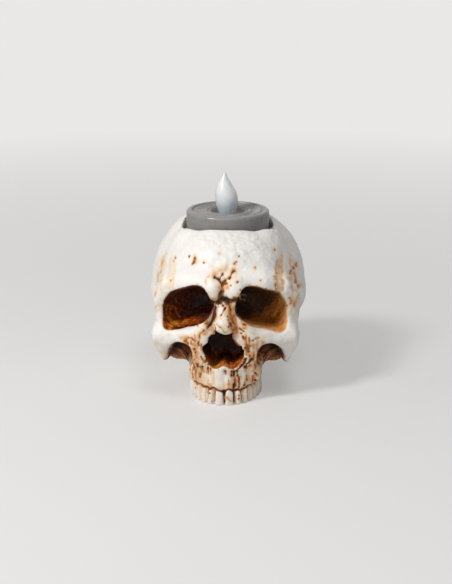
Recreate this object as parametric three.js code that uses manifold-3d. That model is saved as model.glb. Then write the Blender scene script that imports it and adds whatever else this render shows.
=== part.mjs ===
// A candle holder in the shape of a small human skull, cast solid in resin,
// with an electric tea light standing in a round seat in its crown.
// Millimetres, +Z up. The face looks along -Y and the table is at Z = 0.

import * as THREE from 'three';
import { mergeVertices } from 'three/addons/utils/BufferGeometryUtils.js';
import Module from 'manifold-3d';

const wasm = await Module();
wasm.setup();

// Clearance between pieces, and how far a cutter runs past what it cuts
const CLEARANCE = 0.3;
const OVERRUN = 2;

// Number of flats on round pieces
const ROUND_SIDES = 40;
const SMALL_SIDES = 12;

// The skull casting
const SKULL_WIDTH = 74;
const SKULL_LENGTH = 92;
const SKULL_HEIGHT = 75.3;
const CROWN_EDGE = 2;
const JAW_WIDTH = 32.4;
const JAW_REACH = 23.3;
const JAW_HEEL = 7;
const JAW_TOP = 33;
const JAW_BLEND = 6;
const GUM_LINE = 7.2;
const TOOTH_WIDTH = 4.1;
const TOOTH_HEIGHT = 11.2;
const TOOTH_DEPTH = 5.2;
const TOOTH_CENTRE = 3.2;
const TOOTH_OVERLAP = 0.5;
const TOOTH_PROUD = 0.5;

// The openings of the face
const ORBIT_WIDTH = 24;
const ORBIT_HEIGHT = 18;
const ORBIT_DEPTH = 20;
const ORBIT_TURN = THREE.MathUtils.degToRad(27);
const ORBIT_EDGE = 2;
const NOSE_LOBE_RADIUS = 5;
const NOSE_LOBE_OFFSET = 4.3;
const NOSE_TOP_RADIUS = 3;
const NOSE_EDGE = 1.8;

// Size of the facets on the face, and on the plain back of the head
const FACE_FACET = 2.6;
const BACK_FACET = 6;

// The seat for the light, and the felt under the back of the head
const SEAT_SETBACK = 3;
const SEAT_DEPTH = 15.3;
const SEAT_CLEARANCE = 1.7;
const SEAT_MOUTH_ROUND = 1.6;
const FELT_RADIUS = 4;
const FELT_THICKNESS = 1;
const FELT_SPACING = 12;
const FELT_SETBACK = 14;

// The light's housing
const LIGHT_RADIUS = 19;
const LIGHT_HEIGHT = 18.9;
const HOUSING_WALL = 1.2;
const HOUSING_ROUND = 1.5;
const FLAME_HOLE_RADIUS = 4.3;
const POOL_RADIUS = 8.3;
const POOL_DEPTH = 3;
const INNER_RIDGE_RADIUS = 9.2;
const OUTER_RIDGE_RADIUS = 15.6;
const RIDGE_DIP = 1.1;
const GROOVE_DEPTH = 0.5;
const BOSS_RADIUS = 2.2;
const BOSS_ACROSS = 12.6;
const BOSS_SETBACK = 7.2;

// The flame and the lamp inside it
const FLAME_HEIGHT = 20.4;
const FLAME_FOOT_RADIUS = 3.9;
const FLAME_BELLY_RADIUS = 5.2;
const FLAME_FLANGE_RADIUS = 5.6;
const FLAME_FLANGE_THICKNESS = 1;
const FLAME_LEAN = 1.9;
const FLAME_WALL = 1.1;
const LAMP_FLANGE_RADIUS = 2.9;
const LAMP_FLANGE_THICKNESS = 1;
const LAMP_RADIUS = 2.5;
const LAMP_HEIGHT = 8.3;
const LEAD_PITCH = 2.54;
const LEAD_THICKNESS = 0.5;

// Heights in the light, from the bottom of the housing upwards
const PLATE_RECESS = 1;
const PLATE_THICKNESS = 1.2;
const DOOR_LUG_THICKNESS = 0.8;
const CELL_RADIUS = 10;
const CELL_HEIGHT = 3.2;
const CONTACT_ROOM = 0.9;
const CORE_THICKNESS = 1.2;
const POST_RADIUS = 4.6;
const POST_HEIGHT = 4.4;
const POST_BORE_RADIUS = 2.2;

// The battery door and the tray above it
const DOOR_RADIUS = 11;
const DOOR_SETBACK = -3.1;
const DOOR_NECK_RADIUS = 10.6;
const DOOR_LUG_REACH = 12.8;
const DOOR_LUG_WIDTH = 4;
const DOOR_LUGS = 3;
const DOOR_TURN = THREE.MathUtils.degToRad(35);
const COIN_SLOT_LENGTH = 12;
const COIN_SLOT_WIDTH = 1.6;
const COIN_SLOT_DEPTH = 0.6;
const TRAY_WALL = 1;
const TRAY_ROOM = 0.4;

// The switch and its contacts
const SWITCH_SETBACK = 12.6;
const SWITCH_TRAVEL = 2.5;
const SLIDER_LENGTH = 7.5;
const SLIDER_WIDTH = 5;
const SLIDER_THICKNESS = 1.2;
const KNOB_LENGTH = 3.5;
const KNOB_WIDTH = 2.8;
const KNOB_PROUD = 0.4;
const SWITCH_BLOCK_LENGTH = 12;
const SWITCH_BLOCK_DROP = 2.65;
const STRIP_THICKNESS = 0.25;
const STRIP_WIDTH = 1.6;
const WIPER_LENGTH = 4;
const WIPER_RISE = 0.475;
const FEED_STRIP_LEFT = -4;

// The screws that hold the base, the core and the housing together
const SCREW_RADIUS = 0.75;
const SCREW_HEAD_RADIUS = 1.6;
const SCREW_HEAD_HEIGHT = 0.7;
const SCREW_LENGTH = 10;
const SCREW_SLOT_WIDTH = 0.4;

// Levels that follow from the sizes above, in the light's own frame
const PLATE_TOP = PLATE_RECESS + PLATE_THICKNESS;
const LUG_BOTTOM = PLATE_TOP + CLEARANCE;
const LUG_TOP = LUG_BOTTOM + DOOR_LUG_THICKNESS;
const CELL_BOTTOM = LUG_TOP + CLEARANCE;
const CELL_TOP = CELL_BOTTOM + CELL_HEIGHT;
const CORE_BOTTOM = CELL_TOP + CONTACT_ROOM;
const CORE_TOP = CORE_BOTTOM + CORE_THICKNESS;
const POST_TOP = CORE_TOP + POST_HEIGHT;
const LAMP_BOTTOM = POST_TOP - LAMP_FLANGE_THICKNESS - CLEARANCE;
const HOUSING_INNER_RADIUS = LIGHT_RADIUS - HOUSING_WALL;
const DISC_RADIUS = HOUSING_INNER_RADIUS - CLEARANCE;
const SEAT_RADIUS = LIGHT_RADIUS + SEAT_CLEARANCE;
const SEAT_FLOOR = SKULL_HEIGHT - SEAT_DEPTH;
const SCREW_BORE_RADIUS = SCREW_RADIUS + CLEARANCE;
const SCREW_SIDES = [['left', -1], ['right', 1]];
const BLOCK_FRONT = SWITCH_SETBACK - SLIDER_WIDTH / 2;
const BLOCK_BOTTOM = CORE_BOTTOM - SWITCH_BLOCK_DROP;
const SLIDER_REST = -SWITCH_TRAVEL / 2;
const UNDER_CORE = CORE_BOTTOM - STRIP_THICKNESS / 2;
const UNDER_BLOCK = BLOCK_BOTTOM - STRIP_THICKNESS / 2;
const BEFORE_BLOCK = BLOCK_FRONT - STRIP_THICKNESS / 2;
const TERMINAL_END = SWITCH_SETBACK + CLEARANCE * 3;

// Places and radii in the skull are shares of these: half the width, half the length, the height.
const SPANS = [SKULL_WIDTH / 2, SKULL_LENGTH / 2, SKULL_HEIGHT];

// Each lump: its centre (three), its radii (three), and how widely it blends in.
const BRAINCASE_SHARES = [
  [0, 0.239, 0.585, 0.965, 0.752, 0.474, 0.01], // vault
  [0, -0.283, 0.631, 0.811, 0.598, 0.365, 0.19], // forehead
  [0, 0.424, 0.385, 0.757, 0.554, 0.345, 0.216], // back of the head
  [0, 0.217, 0.252, 0.595, 0.478, 0.252, 0.216], // base
  [0.81, 0.196, 0.491, 0.162, 0.261, 0.093, 0.108], // swelling above the ear
];
const FACE_SHARES = [
  [0, -0.478, 0.438, 0.635, 0.337, 0.252, 0.162], // middle of the face
  [0.595, -0.478, 0.558, 0.203, 0.196, 0.16, 0.135], // outer wall of the orbit
  [0.554, -0.283, 0.325, 0.284, 0.304, 0.166, 0.135], // under the temple
  [0, -0.652, 0.319, 0.365, 0.25, 0.16, 0.108], // upper jaw, behind the nose
  [0.124, -0.874, 0.688, 0.108, 0.07, 0.066, 0.054], // swelling between the brows
  [0.635, -0.641, 0.38, 0.243, 0.141, 0.074, 0.081], // cheekbone
];

// Each ridge: how widely it blends in, then points along it with the radius there.
const RIDGE_SHARES = [
  [0.068, [0, -0.783, 0.677, 0.114], [0, -0.837, 0.611, 0.097], [0, -0.917, 0.491, 0.114]], // nose
  [0.108, [0.097, -0.804, 0.611, 0.076], [0.2, -0.822, 0.505, 0.103], [0.308, -0.815, 0.385, 0.114],
    [0.319, -0.783, 0.266, 0.122], [0.351, -0.717, 0.159, 0.095]], // beside the nose, down to the gum
  [0.162, [0.162, -0.783, 0.691, 0.151], [0.432, -0.739, 0.706, 0.151],
    [0.662, -0.643, 0.677, 0.135], [0.735, -0.587, 0.611, 0.108]], // brow
  [0.108, [0.735, -0.587, 0.611, 0.108], [0.73, -0.598, 0.505, 0.114],
    [0.719, -0.609, 0.398, 0.135]], // outer rim
  [0.081, [0.27, -0.804, 0.412, 0.103], [0.473, -0.765, 0.385, 0.116],
    [0.676, -0.663, 0.375, 0.13]], // lower rim
  [0.081, [0.7, -0.576, 0.332, 0.13], [0.715, -0.533, 0.234, 0.081]], // tip of the cheek
  [0.108, [0.735, -0.543, 0.32, 0.12], [0.79, -0.261, 0.332, 0.092],
    [0.8, 0.043, 0.372, 0.092]], // arch
  [0.135, [0.649, 0.239, 0.332, 0.176], [0.608, 0.239, 0.159, 0.108]], // bone behind the ear
];

// Each hollow, given as a lump is.
const HOLLOW_SHARES = [
  [0.584, -0.728, 0.199, 0.141, 0.261, 0.125, 0.081], // under the cheekbone
  [0.51, -0.7, 0.285, 0.146, 0.261, 0.09, 0.054], // above it, towards the nose
  [1, -0.391, 0.571, 0.189, 0.228, 0.173, 0.108], // temple
  [0, -0.37, -0.013, 0.27, 0.326, 0.093, 0.081], // palate
  [0, -0.087, -0.013, 0.919, 0.174, 0.159, 0.108], // behind the jaw, right across
];

const ORBIT_PLACE_SHARES = [0.461, -0.826, 0.575];
const ORBIT_DROOP_SHARE = 0.32;
const NOSE_LOBE_HEIGHT_SHARE = 0.29;
const NOSE_MIDDLE_HEIGHT_SHARE = 0.332;
const NOSE_TOP_HEIGHT_SHARE = 0.422;
const NOSE_BACK_SHARE = -0.543;
const JAW_CENTRE_SHARE = -0.435;
const GUM_INSET_SHARE = 0.1;
const FACE_END_SHARE = -0.35;
const JAW_BACK_SHARE = -0.087;

// Widths of the teeth on one side, from the middle outwards, as shares of the widest front tooth.
const TOOTH_WIDTH_SHARES = [1, 0.8, 0.85, 0.78, 0.78, 1.1, 1.05];

const PAINTED_RESIN = new THREE.MeshStandardMaterial({ color: '#ebe6dc', roughness: 0.6, metalness: 0 });
const BLACK_FELT = new THREE.MeshStandardMaterial({ color: '#1d1c1c', roughness: 0.95, metalness: 0 });
const GREY_PLASTIC = new THREE.MeshStandardMaterial({ color: '#8c8986', roughness: 0.42, metalness: 0 });
const BLACK_PLASTIC = new THREE.MeshStandardMaterial({ color: '#202020', roughness: 0.5, metalness: 0 });
const MILKY_PLASTIC = new THREE.MeshStandardMaterial({ color: '#dfe5ec', roughness: 0.35, metalness: 0 });
const LAMP_RESIN = new THREE.MeshStandardMaterial({ color: '#f4e7b0', roughness: 0.15, metalness: 0 });
const TINNED_STEEL = new THREE.MeshStandardMaterial({ color: '#c9c9c6', roughness: 0.35, metalness: 1 });
const BRASS = new THREE.MeshStandardMaterial({ color: '#c9a55a', roughness: 0.35, metalness: 1 });

/** Rows of shares as millimetres: across, along and up in turn, and again for the radii. */
function inMillimetres(rows) {
  return rows.map((row) => row.map((share, column) => share * SPANS[column % SPANS.length]));
}

const BRAINCASE = inMillimetres(BRAINCASE_SHARES);
const FACE = inMillimetres(FACE_SHARES);
const HOLLOWS = inMillimetres(HOLLOW_SHARES);
const RIDGES = RIDGE_SHARES.map(([blend, ...points]) => ({
  blend: blend * SPANS[0],
  points: inMillimetres(points),
}));
const ORBIT_PLACE = inMillimetres([ORBIT_PLACE_SHARES])[0];

/** The smaller of two distances, with the crease between them filled over a width. */
function smoothMin(a, b, width) {
  const overlap = Math.max(width - Math.abs(a - b), 0) / width;
  return Math.min(a, b) - overlap * overlap * width / 4;
}

/** The larger of two distances, with the edge between them rounded over a width. */
function smoothMax(a, b, width) {
  return -smoothMin(-a, -b, width);
}

/** About how far a point lies outside an ellipsoid. */
function outsideLump(x, y, z, [cx, cy, cz, rx, ry, rz]) {
  const inner = Math.hypot((x - cx) / rx, (y - cy) / ry, (z - cz) / rz);
  const slope = Math.hypot((x - cx) / rx ** 2, (y - cy) / ry ** 2, (z - cz) / rz ** 2);
  return inner * (inner - 1) / Math.max(slope, Number.EPSILON);
}

/** How far a point lies outside a rod that tapers from one point and radius to another. */
function outsideRod(x, y, z, [ax, ay, az, ar], [bx, by, bz, br]) {
  const [ux, uy, uz] = [bx - ax, by - ay, bz - az];
  const along = ((x - ax) * ux + (y - ay) * uy + (z - az) * uz) / (ux * ux + uy * uy + uz * uz);
  const t = Math.min(Math.max(along, 0), 1);
  return Math.hypot(x - ax - t * ux, y - ay - t * uy, z - az - t * uz) - ar - t * (br - ar);
}

/** How far a point lies outside a ridge of rods. */
function outsideRidge(x, y, z, points) {
  const gaps = points.slice(1).map((end, i) => outsideRod(x, y, z, points[i], end));
  return Math.min(...gaps);
}

/** Share of the way from the middle of the tooth arch to its outline, 1 on the outline. */
function jawShare(x, y) {
  const along = y - JAW_CENTRE_SHARE * SPANS[1];
  const reach = along < 0 ? JAW_REACH : JAW_HEEL;
  return Math.hypot(x / (JAW_WIDTH / 2), along / reach);
}

/** How far a point lies outside an eye socket: a squarish funnel that turns inwards. */
function outsideOrbit(x, y, z) {
  const dx = Math.abs(x) - ORBIT_PLACE[0];
  const dy = y - ORBIT_PLACE[1];
  const across = dx * Math.cos(ORBIT_TURN) + dy * Math.sin(ORBIT_TURN);
  const deep = dy * Math.cos(ORBIT_TURN) - dx * Math.sin(ORBIT_TURN);
  const up = z - ORBIT_PLACE[2] + ORBIT_DROOP_SHARE * across;
  const cubes = Math.abs(2 * across / ORBIT_WIDTH) ** 3 + Math.abs(2 * up / ORBIT_HEIGHT) ** 3;
  const depthShare = Math.min(Math.max(deep / ORBIT_DEPTH, 0), 1);
  const wall = (Math.cbrt(cubes) - Math.sqrt(1 - depthShare ** 2)) * (ORBIT_HEIGHT / 2);
  return Math.max(wall, deep - ORBIT_DEPTH);
}

/** How far a point lies outside the nose opening: two round lobes below and a narrower top. */
function outsideNose(x, y, z) {
  const side = Math.hypot(x, NOSE_EDGE / 3);
  const lobeHeight = z - NOSE_LOBE_HEIGHT_SHARE * SKULL_HEIGHT;
  const lobe = Math.hypot(side - NOSE_LOBE_OFFSET, lobeHeight) - NOSE_LOBE_RADIUS;
  const middle = [NOSE_LOBE_OFFSET, 0, NOSE_MIDDLE_HEIGHT_SHARE * SKULL_HEIGHT, NOSE_LOBE_RADIUS];
  const top = [NOSE_TOP_RADIUS / 3, 0, NOSE_TOP_HEIGHT_SHARE * SKULL_HEIGHT, NOSE_TOP_RADIUS];
  const outline = smoothMin(lobe, outsideRod(side, 0, z, top, middle), NOSE_TOP_RADIUS);
  return smoothMax(outline, y - NOSE_BACK_SHARE * SPANS[1], NOSE_TOP_RADIUS);
}

/** How far a point lies outside the bone, before its teeth, its seat and its flats are made. */
function outsideBone(x, y, z) {
  const side = Math.hypot(x, CROWN_EDGE / 4);
  let gap = SKULL_WIDTH;
  for (const lump of BRAINCASE) {
    gap = smoothMin(gap, outsideLump(side, y, z, lump), lump[6]);
  }
  gap = smoothMax(gap, z - SKULL_HEIGHT, CROWN_EDGE);
  for (const lump of FACE) {
    gap = smoothMin(gap, outsideLump(side, y, z, lump), lump[6]);
  }
  const jawWall = (jawShare(x, y) - 1) * JAW_WIDTH / 2;
  gap = smoothMin(gap, smoothMax(jawWall, Math.max(z - JAW_TOP, -z - GUM_LINE), JAW_BLEND), JAW_BLEND);
  for (const ridge of RIDGES) {
    gap = smoothMin(gap, outsideRidge(side, y, z, ridge.points), ridge.blend);
  }
  gap = smoothMax(gap, -outsideOrbit(x, y, z), ORBIT_EDGE);
  gap = smoothMax(gap, -outsideNose(x, y, z), NOSE_EDGE);
  for (const hollow of HOLLOWS) {
    gap = smoothMax(gap, -outsideLump(side, y, z, hollow), hollow[6]);
  }
  return gap;
}

/** Lattice lines from low to high: close together up to a border, and wide apart beyond it. */
function latticeLines(low, border, high) {
  const near = Math.ceil((border - low) / FACE_FACET);
  const far = Math.ceil((high - border) / BACK_FACET);
  const close = Array.from({ length: near }, (_, i) => low + (border - low) * i / near);
  const wide = Array.from({ length: far + 1 }, (_, i) => border + (high - border) * i / far);
  return [...close, ...wide];
}

/** A closed skin of quads where the gap function is zero, one corner in each lattice cell it crosses. */
function skinOf(outside, lines) {
  const [nx, ny, nz] = lines.map((list) => list.length);
  const step = [1, nx, nx * ny];
  const gaps = new Float64Array(nx * ny * nz);
  for (let n = 0; n < gaps.length; n += 1) {
    const at = [n % nx, Math.floor(n / nx) % ny, Math.floor(n / step[2])];
    gaps[n] = outside(...at.map((index, axis) => lines[axis][index]));
  }
  const offsets = [0, 1, 2, 3, 4, 5, 6, 7].map((bits) => [bits & 1, (bits >> 1) & 1, bits >> 2]);
  fillPinches(gaps, [nx, ny], offsets.map(([a, b, c]) => a * step[0] + b * step[1] + c * step[2]));
  const positions = [];
  const cornerOfCell = new Map();
  for (let k = 0; k < nz - 1; k += 1) {
    for (let j = 0; j < ny - 1; j += 1) {
      for (let i = 0; i < nx - 1; i += 1) {
        const cell = i + j * step[1] + k * step[2];
        const crossing = crossingOf(cell, [i, j, k], gaps, lines, step, offsets);
        if (crossing) {
          cornerOfCell.set(cell, positions.length / 3);
          positions.push(...settledOn(outside, crossing));
        }
      }
    }
  }
  const triangles = [];
  for (let n = 0; n < gaps.length; n += 1) {
    for (let axis = 0; axis < 3; axis += 1) {
      const next = n + step[axis];
      if (next >= gaps.length || gaps[n] < 0 === gaps[next] < 0) continue;
      const [b, c] = [step[(axis + 1) % 3], step[(axis + 2) % 3]];
      const ring = [n, n - b, n - b - c, n - c].map((cell) => cornerOfCell.get(cell));
      if (ring.includes(undefined)) continue;
      if (gaps[n] >= 0) ring.reverse();
      triangles.push(...splitQuad(ring, positions));
    }
  }
  const geometry = new THREE.BufferGeometry();
  geometry.setAttribute('position', new THREE.Float32BufferAttribute(positions, 3));
  geometry.setIndex(triangles);
  return geometry;
}

/** Whether the chosen corners of a cell, as bits 0 to 7, hang together along the cell's edges. */
function hangTogether(chosen) {
  const reached = new Set(chosen.slice(0, 1));
  for (const corner of reached) {
    for (const bit of [1, 2, 4]) {
      if (chosen.includes(corner ^ bit)) reached.add(corner ^ bit);
    }
  }
  return reached.size === chosen.length;
}

/** Fills the nearest outside corner of each cell where the skin would touch itself, until none is left. */
function fillPinches(gaps, [nx, ny], cornerSteps) {
  let filled = true;
  while (filled) {
    filled = false;
    for (let n = 0; n < gaps.length - cornerSteps[7]; n += 1) {
      if (n % nx === nx - 1 || Math.floor(n / nx) % ny === ny - 1) continue;
      const values = cornerSteps.map((stride) => gaps[n + stride]);
      const bits = [...values.keys()];
      const outside = bits.filter((bit) => values[bit] >= 0);
      const inside = bits.filter((bit) => values[bit] < 0);
      if (hangTogether(inside) && hangTogether(outside)) continue;
      const nearest = outside.reduce((best, bit) => (values[bit] < values[best] ? bit : best));
      gaps[n + cornerSteps[nearest]] = -FACE_FACET / 100;
      filled = true;
    }
  }
}

/** The middle of the places where a cell's edges cross the skin, or null where none does. */
function crossingOf(cell, [i, j, k], gaps, lines, step, offsets) {
  const values = offsets.map(([a, b, c]) => gaps[cell + a * step[0] + b * step[1] + c * step[2]]);
  const corners = offsets.map(([a, b, c]) => [lines[0][i + a], lines[1][j + b], lines[2][k + c]]);
  const sum = [0, 0, 0];
  let count = 0;
  for (let from = 0; from < offsets.length; from += 1) {
    for (const bit of [1, 2, 4]) {
      const to = from | bit;
      if (to === from || values[from] < 0 === values[to] < 0) continue;
      const t = values[from] / (values[from] - values[to]);
      corners[from].forEach((start, axis) => {
        sum[axis] += start + t * (corners[to][axis] - start);
      });
      count += 1;
    }
  }
  return count > 0 ? sum.map((total) => total / count) : null;
}

/** A point moved straight onto the skin, by no more than part of a facet. */
function settledOn(outside, start) {
  const probe = FACE_FACET / 100;
  const point = [...start];
  for (let pass = 0; pass < 2; pass += 1) {
    const gap = outside(...point);
    const slope = point.map((value, axis) => {
      const moved = [...point];
      moved[axis] = value + probe;
      return (outside(...moved) - gap) / probe;
    });
    const steepness = Math.hypot(...slope);
    const move = THREE.MathUtils.clamp(gap / steepness, -FACE_FACET / 4, FACE_FACET / 4);
    slope.forEach((part, axis) => {
      point[axis] -= move * part / steepness;
    });
  }
  return point;
}

/** Two triangles from a quad, split along its shorter diagonal. */
function splitQuad([a, b, c, d], positions) {
  const [atA, atB, atC, atD] = [a, b, c, d].map((i) => new THREE.Vector3().fromArray(positions, 3 * i));
  return atA.distanceTo(atC) < atB.distanceTo(atD) ? [a, b, c, a, c, d] : [a, b, d, b, c, d];
}

/** A geometry with its shared corners merged and no collapsed triangles. */
function welded(geometry) {
  const bare = geometry.clone();
  bare.deleteAttribute('normal');
  bare.deleteAttribute('uv');
  const merged = mergeVertices(bare);
  const index = Array.from(merged.index.array);
  const kept = [];
  for (let i = 0; i < index.length; i += 3) {
    const [a, b, c] = index.slice(i, i + 3);
    if (a !== b && b !== c && c !== a) kept.push(a, b, c);
  }
  merged.setIndex(kept);
  return merged;
}

/** A closed geometry as a solid that can be cut and joined. */
function solidOf(geometry) {
  const closed = welded(geometry);
  return new wasm.Manifold(new wasm.Mesh({
    numProp: 3,
    vertProperties: new Float32Array(closed.attributes.position.array),
    triVerts: new Uint32Array(closed.index.array),
  }));
}

/** A solid's skin as a geometry. */
function geometryOf(solid) {
  const mesh = solid.getMesh();
  const geometry = new THREE.BufferGeometry();
  geometry.setAttribute('position', new THREE.BufferAttribute(new Float32Array(mesh.vertProperties), 3));
  geometry.setIndex(Array.from(mesh.triVerts));
  return geometry;
}

/** A geometry with others joined to it, and then others cut from it. */
function shaped(base, { joined = [], cut = [] }) {
  const whole = joined.reduce((solid, extra) => solid.add(solidOf(extra)), solidOf(base));
  return geometryOf(cut.reduce((solid, tool) => solid.subtract(solidOf(tool)), whole));
}

/** A turned piece, from a profile of radius and height that runs up its outside. */
function turned(profile, sides = ROUND_SIDES) {
  const points = profile.map(([radius, height]) => new THREE.Vector2(radius, height));
  return new THREE.LatheGeometry(points, sides).rotateX(Math.PI / 2);
}

/** An upright cylinder between two heights. */
function rod(radius, bottom, top, sides = ROUND_SIDES) {
  return turned([[0, bottom], [radius, bottom], [radius, top], [0, top]], sides);
}

/** A box from its low corner to its high corner. */
function block([x0, y0, z0], [x1, y1, z1]) {
  const box = new THREE.BoxGeometry(x1 - x0, y1 - y0, z1 - z0);
  return box.translate((x0 + x1) / 2, (y0 + y1) / 2, (z0 + z1) / 2);
}

/** A metal strip bent along a path, with the same thickness all the way, as an extruded outline. */
function bentStrip(path, width) {
  const points = path.map(([along, up]) => new THREE.Vector2(along, up));
  const runs = points.slice(1).map((point, i) => point.clone().sub(points[i]).normalize());
  const sides = points.map((point, i) => {
    const arriving = runs[Math.max(i - 1, 0)];
    const leaving = runs[Math.min(i, runs.length - 1)];
    const mitre = arriving.clone().add(leaving).normalize();
    const normal = new THREE.Vector2(-mitre.y, mitre.x);
    return normal.multiplyScalar(STRIP_THICKNESS / 2 / Math.abs(mitre.dot(leaving)));
  });
  const upper = points.map((point, i) => point.clone().add(sides[i]));
  const lower = points.map((point, i) => point.clone().sub(sides[i])).reverse();
  const outline = new THREE.Shape([...upper, ...lower]);
  return new THREE.ExtrudeGeometry(outline, { depth: width, bevelEnabled: false });
}

/** A strip whose path is along Y and up Z, from one place across to another. */
function stripAlong(path, from, width) {
  const basis = new THREE.Matrix4().makeBasis(
    new THREE.Vector3(0, 1, 0), new THREE.Vector3(0, 0, 1), new THREE.Vector3(1, 0, 0));
  return bentStrip(path, width).applyMatrix4(basis).translate(from, 0, 0);
}

/** A named piece of the model. */
function piece(name, geometry, material) {
  const closed = welded(geometry);
  closed.computeVertexNormals();
  const mesh = new THREE.Mesh(closed, material);
  mesh.name = name;
  return mesh;
}

// The casting

/** One tooth: a ball drawn out towards a rounded block, standing at the origin. */
function tooth(width) {
  const ball = new THREE.SphereGeometry(1, 8, 7);
  const position = ball.attributes.position;
  for (let i = 0; i < position.count; i += 1) {
    const [x, y, z] = [position.getX(i), position.getY(i), position.getZ(i)];
    const reach = (Math.abs(x) ** 3 + Math.abs(y) ** 3 + Math.abs(z) ** 3) ** (1 / 3);
    position.setXYZ(i, x / reach, y / reach, z / reach);
  }
  const radii = [width + TOOTH_OVERLAP, TOOTH_DEPTH, TOOTH_HEIGHT].map((size) => size / 2);
  return ball.scale(...radii).translate(0, 0, TOOTH_CENTRE);
}

/** The teeth of both sides, each on the arch at its share of the way round. */
function teeth() {
  const radii = [JAW_WIDTH / 2, JAW_REACH].map((reach) => reach + TOOTH_PROUD - TOOTH_DEPTH / 2);
  const arch = new THREE.EllipseCurve(0, JAW_CENTRE_SHARE * SPANS[1], ...radii, -Math.PI / 2, 0);
  const length = arch.getLength();
  const row = [];
  let passed = 0;
  for (const share of TOOTH_WIDTH_SHARES) {
    const width = share * TOOTH_WIDTH;
    const spot = (passed + width / 2) / length;
    const at = arch.getPointAt(spot);
    const heading = arch.getTangentAt(spot);
    const turn = Math.atan2(heading.y, heading.x);
    row.push(tooth(width).rotateZ(turn).translate(at.x, at.y, 0));
    row.push(tooth(width).rotateZ(-turn).translate(-at.x, at.y, 0));
    passed += width;
  }
  return row;
}

/** The ring of bone that is cut away behind the teeth's faces, below the gum. */
function gumRelief() {
  const ring = (grow) => {
    const inner = 1 - GUM_INSET_SHARE + grow;
    const radii = [inner * JAW_WIDTH / 2, inner * JAW_REACH];
    return new THREE.EllipseCurve(0, 0, ...radii, Math.PI, 2 * Math.PI).getPoints(SMALL_SIDES);
  };
  const outline = new THREE.Shape([...ring(0), ...ring(2 * GUM_INSET_SHARE).reverse()]);
  const cutter = new THREE.ExtrudeGeometry(outline, { depth: GUM_LINE + OVERRUN, bevelEnabled: false });
  return cutter.translate(0, JAW_CENTRE_SHARE * SPANS[1], -OVERRUN);
}

/** The round seat with its softened mouth, as a cutter. */
function seatCutter() {
  const rise = SEAT_MOUTH_ROUND + OVERRUN;
  const lip = SKULL_HEIGHT - 2 * SEAT_MOUTH_ROUND;
  const cutter = turned([
    [0, SEAT_FLOOR],
    [SEAT_RADIUS - SEAT_MOUTH_ROUND / 2, SEAT_FLOOR],
    [SEAT_RADIUS, SEAT_FLOOR + SEAT_MOUTH_ROUND / 2],
    [SEAT_RADIUS, lip],
    [SEAT_RADIUS + SEAT_MOUTH_ROUND / 4, lip + SEAT_MOUTH_ROUND],
    [SEAT_RADIUS + SEAT_MOUTH_ROUND, lip + 2 * SEAT_MOUTH_ROUND],
    [SEAT_RADIUS + rise, SKULL_HEIGHT + OVERRUN],
    [0, SKULL_HEIGHT + OVERRUN],
  ]);
  return cutter.translate(0, SEAT_SETBACK, 0);
}

function skullCasting() {
  const margin = 2 * FACE_FACET;
  const half = latticeLines(-SPANS[0] - margin, 0, SPANS[0] + margin).filter((line) => line < 0);
  const lines = [
    [...half, 0, ...half.map((line) => -line).reverse()],
    latticeLines(-SPANS[1] - margin, FACE_END_SHARE * SPANS[1], SPANS[1] + 2 * margin),
    latticeLines(-GUM_LINE - margin, ORBIT_PLACE[2] + ORBIT_HEIGHT, SKULL_HEIGHT + margin),
  ];
  const bone = skinOf(outsideBone, lines);
  const divide = JAW_BACK_SHARE * SPANS[1];
  const reach = SKULL_WIDTH;
  const underJaw = block([-reach, -reach, -reach], [reach, divide, 0]);
  const underBack = block([-reach, divide, -reach], [reach, reach, FELT_THICKNESS]);
  const relieved = shaped(bone, { cut: [gumRelief()] });
  const cutters = [underJaw, underBack, seatCutter()];
  return shaped(relieved, { joined: teeth(), cut: cutters });
}

function feltPad(side) {
  const pad = rod(FELT_RADIUS, 0, FELT_THICKNESS, SMALL_SIDES * 2);
  return pad.translate(side * FELT_SPACING / 2, FELT_SETBACK, 0);
}

// The light, in its own frame: the housing's bottom rim is at zero height

function lightHousing() {
  const top = LIGHT_HEIGHT;
  const roof = top - POOL_DEPTH - HOUSING_WALL;
  const brim = top - 2 * HOUSING_WALL;
  const outer = LIGHT_RADIUS - HOUSING_ROUND;
  const bend = HOUSING_ROUND * (1 - Math.SQRT1_2);
  const shell = turned([
    [HOUSING_INNER_RADIUS, 0],
    [LIGHT_RADIUS, 0],
    [LIGHT_RADIUS, top - HOUSING_ROUND],
    [LIGHT_RADIUS - bend, top - bend],
    [outer, top],
    [(outer + OUTER_RIDGE_RADIUS) / 2, top - GROOVE_DEPTH],
    [OUTER_RIDGE_RADIUS, top],
    [(OUTER_RIDGE_RADIUS + INNER_RIDGE_RADIUS) / 2, top - RIDGE_DIP],
    [INNER_RIDGE_RADIUS, top],
    [POOL_RADIUS, top - POOL_DEPTH / 2],
    [POOL_RADIUS - GROOVE_DEPTH, top - POOL_DEPTH],
    [FLAME_HOLE_RADIUS, top - POOL_DEPTH],
    [FLAME_HOLE_RADIUS, roof],
    [POOL_RADIUS + HOUSING_WALL, roof],
    [POOL_RADIUS + HOUSING_WALL, brim],
    [HOUSING_INNER_RADIUS, brim],
    [HOUSING_INNER_RADIUS, 0],
  ]);
  const bosses = [];
  const bores = [];
  for (const [, side] of SCREW_SIDES) {
    const boss = rod(BOSS_RADIUS, CORE_TOP, brim + HOUSING_WALL / 2, SMALL_SIDES);
    const bore = rod(SCREW_BORE_RADIUS, CORE_TOP - OVERRUN, CORE_TOP + SCREW_LENGTH / 2, SMALL_SIDES);
    bosses.push(boss.translate(side * BOSS_ACROSS, BOSS_SETBACK, 0));
    bores.push(bore.translate(side * BOSS_ACROSS, BOSS_SETBACK, 0));
  }
  return shaped(shell, { joined: bosses, cut: bores });
}

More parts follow.
